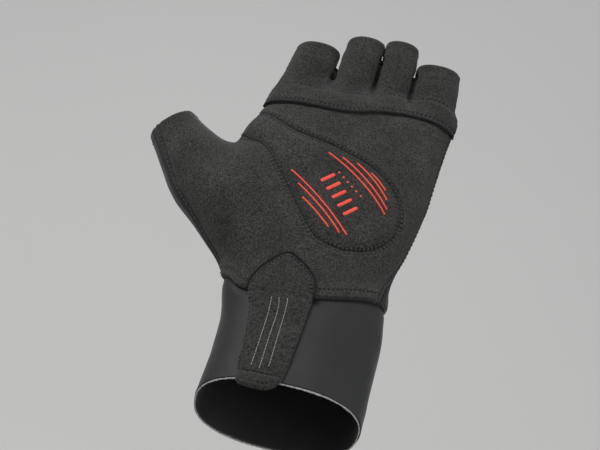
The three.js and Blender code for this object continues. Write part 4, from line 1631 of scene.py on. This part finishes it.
class GLOVE_OT_finger_panel(bpy.types.Operator):
    """Build the suede under the fingers, from its folded foot to the front hems of the stalls."""

    bl_idname = "glove.finger_panel"
    bl_label = "Finger panel"

    def execute(self, context):
        cloth = context.scene.glove_cloth
        seams = sewn_seams()
        grids = [stall_grid(seams, k, -1) for k in range(len(STALL_NAMES))]
        gaps = [stall["gap"] for stall in seams.stalls]
        rows = [(seams.hem_line, LEDGE_ROW), (seams.hem_line, HEM_WIDTH)]
        shape = sheet_of(grids, finger_relief(seams, -1), cloth.suede_thickness / MM, gaps, rows)
        made = suede("Finger suede", shaded(cloth.suede, 0.88), grain=0.9, seed=1.5)
        piece = finish("finger_band", shape, made, "suede", "finger_panel")
        # Painted shadow: a near-black ragged roll along the ledge stands for the shadow under the finger
        # panel's folded foot, drawn as its dark raw edge
        roll = shadow_roll(spaced(beside(seams.hem_line, 0.1), 420), radius=0.65, lift=0.8, seed=81)
        shadow_tint = yarn("Painted ledge shadow", cloth.shadow_tint, size=0.6, roughness=0.95)
        finish("ledge_shadow", roll, shadow_tint, "suede")
        return {"FINISHED"}


def shadow_roll(line, radius, lift, seed):
    """A near-black ragged roll on a line of the form: a dark piece laid where an edge casts shadow, as
    painted shadow.
    """
    normals = outward(line)
    ragged = radius * (1 + 0.25 * drift(line, 1.3, seed) + 0.15 * drift(line, 3.1, seed + 1))
    centres = line + (lift + 0.2 * drift(line, 2.2, seed + 2))[:, None] * normals
    return rods(centres[None], normals[None], THREAD_PROFILE, ragged[None])


class GLOVE_OT_back(bpy.types.Operator):
    """Build the stretch back with the backs of the stalls and of the thumb."""

    bl_idname = "glove.back"
    bl_label = "Back"

    def execute(self, context):
        cloth = context.scene.glove_cloth
        seams = sewn_seams()
        thickness = cloth.cloth_thickness / MM
        grids = [stall_grid(seams, k, 1) for k in range(len(STALL_NAMES))]
        gaps = [stall["gap"] for stall in seams.stalls]
        back = sheet_of(grids, finger_relief(seams, 1), thickness, gaps)
        thumb = sheet_of([thumb_back_grid(seams)], thumb_back_relief(seams), thickness)
        made = stretch_twill("Back twill", cloth.cloth)
        piece = finish("back", gathered([back[:2], thumb[:2]]), made, "stretch_cloth", "back_panel")
        return {"FINISHED"}


class GLOVE_OT_cuff(bpy.types.Operator):
    """Build the stretch cuff and its pale raw edge."""

    bl_idname = "glove.cuff"
    bl_label = "Cuff"

    def execute(self, context):
        cloth = context.scene.glove_cloth
        columns, rows = 300, 130
        grid = cuff_grid(CUFF_START, CUFF_LAP, columns, rows)
        points, faces = grid.reshape(-1, 3), tube_cells(columns, rows)
        normals = outward(points)
        faces = facing_out(faces, points, normals)
        shape = walled(points, normals, cuff_relief(points), cloth.cloth_thickness / MM, faces)
        twill = stretch_twill("Cuff twill", shaded(cloth.cloth, 0.84))
        piece = finish("stretch_cuff", shape, twill, "stretch_cloth", "cuff")
        edge = edging_ring(520, cloth.edging_width / MM, seed=71)
        frayed = yarn("Raw edge", cloth.edging, size=0.7, roughness=0.95)
        finish("raw_edge", edge, frayed, "pale_edge", "cuff_edging")
        return {"FINISHED"}


class GLOVE_OT_tab(bpy.types.Operator):
    """Build the pull tab over the cuff."""

    bl_idname = "glove.tab"
    bl_label = "Pull tab"

    def execute(self, context):
        cloth = context.scene.glove_cloth
        line = tab_edge()
        grid = tab_grid(line)
        points, faces = grid.reshape(-1, 3), grid_cells(*grid.shape[:2])
        normals = outward(points)
        under = tab_base(points)
        outer = points + (under + tab_relief(line)(points))[:, None] * normals
        shape = closed_sheet(outer, points + under[:, None] * normals, facing_out(faces, points, normals))
        shoulders = tab_sides(line, TAB_SHOULDER)
        shape = (*shape, sewn_places(points, [(side, TAB_ROW) for side in shoulders]))
        made = suede("Tab suede", shaded(cloth.suede, 0.8), grain=1.2, seed=2.5)
        piece = finish("tab", shape, made, "suede", "pull_tab")
        top = np.concatenate(shoulders[::-1])
        # Painted shadow: a near-black ragged roll just outside the tab's upper edge stands for the shadow
        # that edge casts
        roll = shadow_roll(spaced(beside(top, -0.45), 220), radius=0.6, lift=2.8, seed=91)
        shadow_tint = yarn("Painted tab edge shadow", cloth.shadow_tint, size=0.6, roughness=0.95)
        finish("tab_edge", roll, shadow_tint, "suede")
        return {"FINISHED"}


class GLOVE_OT_threads(bpy.types.Operator):
    """Sew the seams: rows of single stitches, with the pale lines on the tab."""

    bl_idname = "glove.threads"
    bl_label = "Threads"

    def execute(self, context):
        sewing = context.scene.glove_sewing
        seams = sewn_seams()
        radius, pitch = sewing.radius / MM, sewing.pitch / MM
        palm, pad = palm_relief(seams), pad_relief(seams)
        finger, back, thumb = finger_relief(seams, -1), finger_relief(seams, 1), thumb_back_relief(seams)
        rows = [
            (beside(seams.pad, PAD_ROW), palm, pitch),
            (beside(seams.pad, -PAD_ROW), pad, pitch),
            (beside(seams.hem_line, LEDGE_ROW), finger, pitch),
            (beside(seams.hem_line, HEM_WIDTH), finger, pitch),
            (beside(seams.palm_front, HEEL_ROW), palm, pitch),
            (beside(seams.palm_back, -HEEL_ROW), back, BACK_STITCH),
            (beside(seams.thumb_outer, -SIDE_ROW)[OUTER_START:], palm, HEM_STITCH),
            (beside(seams.ulnar_side, -SIDE_ROW), palm, HEM_STITCH),
            (beside(seams.thumb_join, JOIN_ROW)[JOIN_START:], back, BACK_STITCH),
            (beside(seams.thumb_rim_front, HEM_ROW), palm, HEM_STITCH),
            (beside(seams.thumb_rim_back, -HEM_ROW), thumb, HEM_STITCH),
        ]
        rows = [(*row, form_gap) for row in rows]
        for stall in seams.stalls:
            for rim, side, heights in (("rim_front", -1, finger), ("rim_back", 1, back)):
                line = beside(stall[rim], side * HEM_ROW, stall["gap"])
                rows.append((line, heights, HEM_STITCH, stall["gap"]))
        parts = []
        for k, (line, heights, step, gap) in enumerate(rows):
            parts.append(stitches(line, heights, step, radius, gap=gap, seed=k))
        edge = tab_edge()
        rise = tab_relief(edge)

        def tab_heights(points):
            return tab_base(points) + rise(points)

        for side in tab_sides(edge, TAB_SEWN):
            parts.append(stitches(beside(side, TAB_ROW), tab_heights, pitch, radius, seed=40))
        across, up = tab_place(np.linspace(-0.3, 0.3, 60), np.full(60, TAB_FOOT_ROW / TAB_LENGTH))
        parts.append(stitches(seen_from(across, up, -1), tab_heights, FOOT_STITCH, radius, seed=41))
        black = yarn("Sewing thread", sewing.thread, size=0.3, roughness=0.55)
        finish("threads", gathered(parts), black, "thread")
        pale = []
        radius = sewing.pale_radius / MM
        for k, places in enumerate(TAB_LINES):
            flat = smooth_line([tab_place(*place) for place in places], 160)
            line = seen_from(*flat.T, -1)
            row = stitches(line, tab_heights, PALE_STITCH, radius, share=0.95, sunk=0.6, seed=50 + k)
            pale.append(row)
        grey = yarn("Pale thread", sewing.pale_thread, size=0.3, roughness=0.6)
        finish("tab_lines", gathered(pale), grey, "pale_thread")
        return {"FINISHED"}


def marks_along(row, count, mark, width, height, heights):
    """Printed marks, evenly placed along a row: each the points of its line, seen from its middle."""
    start, end = front_place(*row[0]), front_place(*row[1])
    middles = [start + share * (end - start) for share in np.linspace(0, 1, count)]
    return [printed(middle + mark, width, height, heights) for middle in middles]


class GLOVE_OT_print(bpy.types.Operator):
    """Print the plain stripes, bars and dots on the pad."""

    bl_idname = "glove.print"
    bl_label = "Print"

    def execute(self, context):
        settings = context.scene.glove_print
        heights = pad_relief(sewn_seams())
        stroke, bar, dot = settings.stroke / MM, settings.bar / MM, settings.dot / MM
        parts = [printed(bowed(*stripe, 70), stroke, STRIPE_RISE, heights) for stripe in STRIPES]
        start, end = front_place(*BAR_ROW[0]), front_place(*BAR_ROW[1])
        upright = np.array([start[1] - end[1], end[0] - start[0]]) / np.linalg.norm(end - start)
        tall = settings.bar_length / MM / 2
        upright_bar = np.linspace(-tall, tall, 26)[:, None] * upright
        short_dot = np.linspace(-dot / 2, dot / 2, 9)[:, None] * upright
        parts += marks_along(BAR_ROW, BARS, upright_bar, bar, BAR_RISE, heights)
        parts += marks_along(DOT_ROW, DOTS, short_dot, dot, DOT_RISE, heights)
        finish("print", gathered(parts), silicone_ink("Silicone ink", settings.ink), "red_print")
        return {"FINISHED"}


# The camera: what it looks at in millimetres, how far below the level it stands, its roll and its distance
CAMERA_TARGET = np.array([-10.4, 9.3, 97.5])
CAMERA_RISE = math.radians(24)
CAMERA_ROLL = math.radians(13.3)
CAMERA_DISTANCE = 620
CAMERA_LENS = 78.12

# The lights: where each stands, its size in metres and its power in watts. All look at one place.
LIGHTS = {
    "key": ((-0.7, -0.9, 1.0), 0.7, 16),
    "fill": ((0.9, -0.9, 0.1), 0.9, 5),
    "rim": ((0.2, 0.9, 0.9), 0.6, 6),
}
LIGHT_AIM = (0, 0, 0.1)
SKY = "#d5d8dc"
SKY_STRENGTH = 0.6

# The board in metres: half its width, where its bend starts, the radius of that and the height of its floor
BOARD_HALF = 4
BOARD_BEND = 0.9
BEND_RADIUS = 0.6
BOARD_FLOOR = -1.0


def soft_light(name, place, size, power):
    """A square area light that looks from its place at the glove."""
    lamp = bpy.data.lights.new(name, "AREA")
    lamp.energy, lamp.size = power, size
    made = bpy.data.objects.new(name, lamp)
    made.location = place
    made.rotation_euler = (Vector(LIGHT_AIM) - Vector(place)).to_track_quat("-Z", "Y").to_euler()
    bpy.context.scene.collection.objects.link(made)


class GLOVE_OT_stage(bpy.types.Operator):
    """Set up the pale floor and wall, the soft lights and the camera."""

    bl_idname = "glove.stage"
    bl_label = "Stage"

    def execute(self, context):
        across = np.linspace(-BOARD_HALF, BOARD_HALF, 9)
        bend = np.radians(np.linspace(0, 90, 16))
        curve = BOARD_BEND + BEND_RADIUS * np.sin(bend)
        depth = np.concatenate([[-BOARD_HALF], curve, curve[-1:]])
        rise = BOARD_FLOOR + BEND_RADIUS - BEND_RADIUS * np.cos(bend)
        height = np.concatenate([[BOARD_FLOOR], rise, [BOARD_HALF]])
        x = np.broadcast_to(across[:, None], (len(across), len(depth)))
        points = np.stack([x, np.broadcast_to(depth, x.shape), np.broadcast_to(height, x.shape)], -1)
        board = mesh_object("backdrop", points.reshape(-1, 3) / MM, grid_cells(*x.shape))
        board.data.materials.append(painted_board("Painted board", linear("#e4e3e0")))
        for name, (place, size, power) in LIGHTS.items():
            soft_light(name, place, size, power)
        world = bpy.data.worlds.new("studio")
        world.use_nodes = True
        background = world.node_tree.nodes["Background"]
        background.inputs["Color"].default_value = linear(SKY)
        background.inputs["Strength"].default_value = SKY_STRENGTH
        context.scene.world = world
        forward = np.array([0, math.cos(CAMERA_RISE), math.sin(CAMERA_RISE)])
        upward = np.array([0, -math.sin(CAMERA_RISE), math.cos(CAMERA_RISE)])
        level = np.array([1.0, 0.0, 0.0])
        right = level * math.cos(CAMERA_ROLL) + upward * math.sin(CAMERA_ROLL)
        upright = upward * math.cos(CAMERA_ROLL) - level * math.sin(CAMERA_ROLL)
        place = (CAMERA_TARGET - CAMERA_DISTANCE * forward) * MM
        lens = bpy.data.cameras.new("camera")
        lens.lens, lens.sensor_width = CAMERA_LENS, 36
        camera = bpy.data.objects.new("camera", lens)
        rows = np.stack([right, upright, -forward, place], -1).tolist()
        camera.matrix_world = Matrix([*rows, [0, 0, 0, 1]])
        context.scene.collection.objects.link(camera)
        context.scene.camera = camera
        context.scene.view_settings.view_transform = "Standard"
        return {"FINISHED"}


PIECES = (
    GLOVE_OT_palm,
    GLOVE_OT_pad,
    GLOVE_OT_finger_panel,
    GLOVE_OT_back,
    GLOVE_OT_cuff,
    GLOVE_OT_tab,
    GLOVE_OT_threads,
    GLOVE_OT_print,
    GLOVE_OT_stage,
)
SETTINGS = {"glove_cloth": GloveCloth, "glove_sewing": GloveSewing, "glove_print": GlovePrint}


class GLOVE_PT_panel(bpy.types.Panel):
    """The glove's settings and the steps that build it."""

    bl_label = "Cycling glove"
    bl_idname = "GLOVE_PT_panel"
    bl_space_type = "VIEW_3D"
    bl_region_type = "UI"
    bl_category = "Glove"

    def draw(self, context):
        for name, group in SETTINGS.items():
            box = self.layout.box()
            for setting in group.__annotations__:
                box.prop(getattr(context.scene, name), setting)
        for piece in PIECES:
            self.layout.operator(piece.bl_idname)


def register():
    for kind in (*SETTINGS.values(), *PIECES, GLOVE_PT_panel):
        bpy.utils.register_class(kind)
    for name, group in SETTINGS.items():
        setattr(bpy.types.Scene, name, bpy.props.PointerProperty(type=group))


def unregister():
    for name in SETTINGS:
        delattr(bpy.types.Scene, name)
    for kind in (GLOVE_PT_panel, *reversed(PIECES), *reversed(SETTINGS.values())):
        bpy.utils.unregister_class(kind)


def main():
    """Build the glove and its stage."""
    register()
    for piece in PIECES:
        group, name = piece.bl_idname.split(".")
        getattr(getattr(bpy.ops, group), name)()


if __name__ == "__main__":
    main()
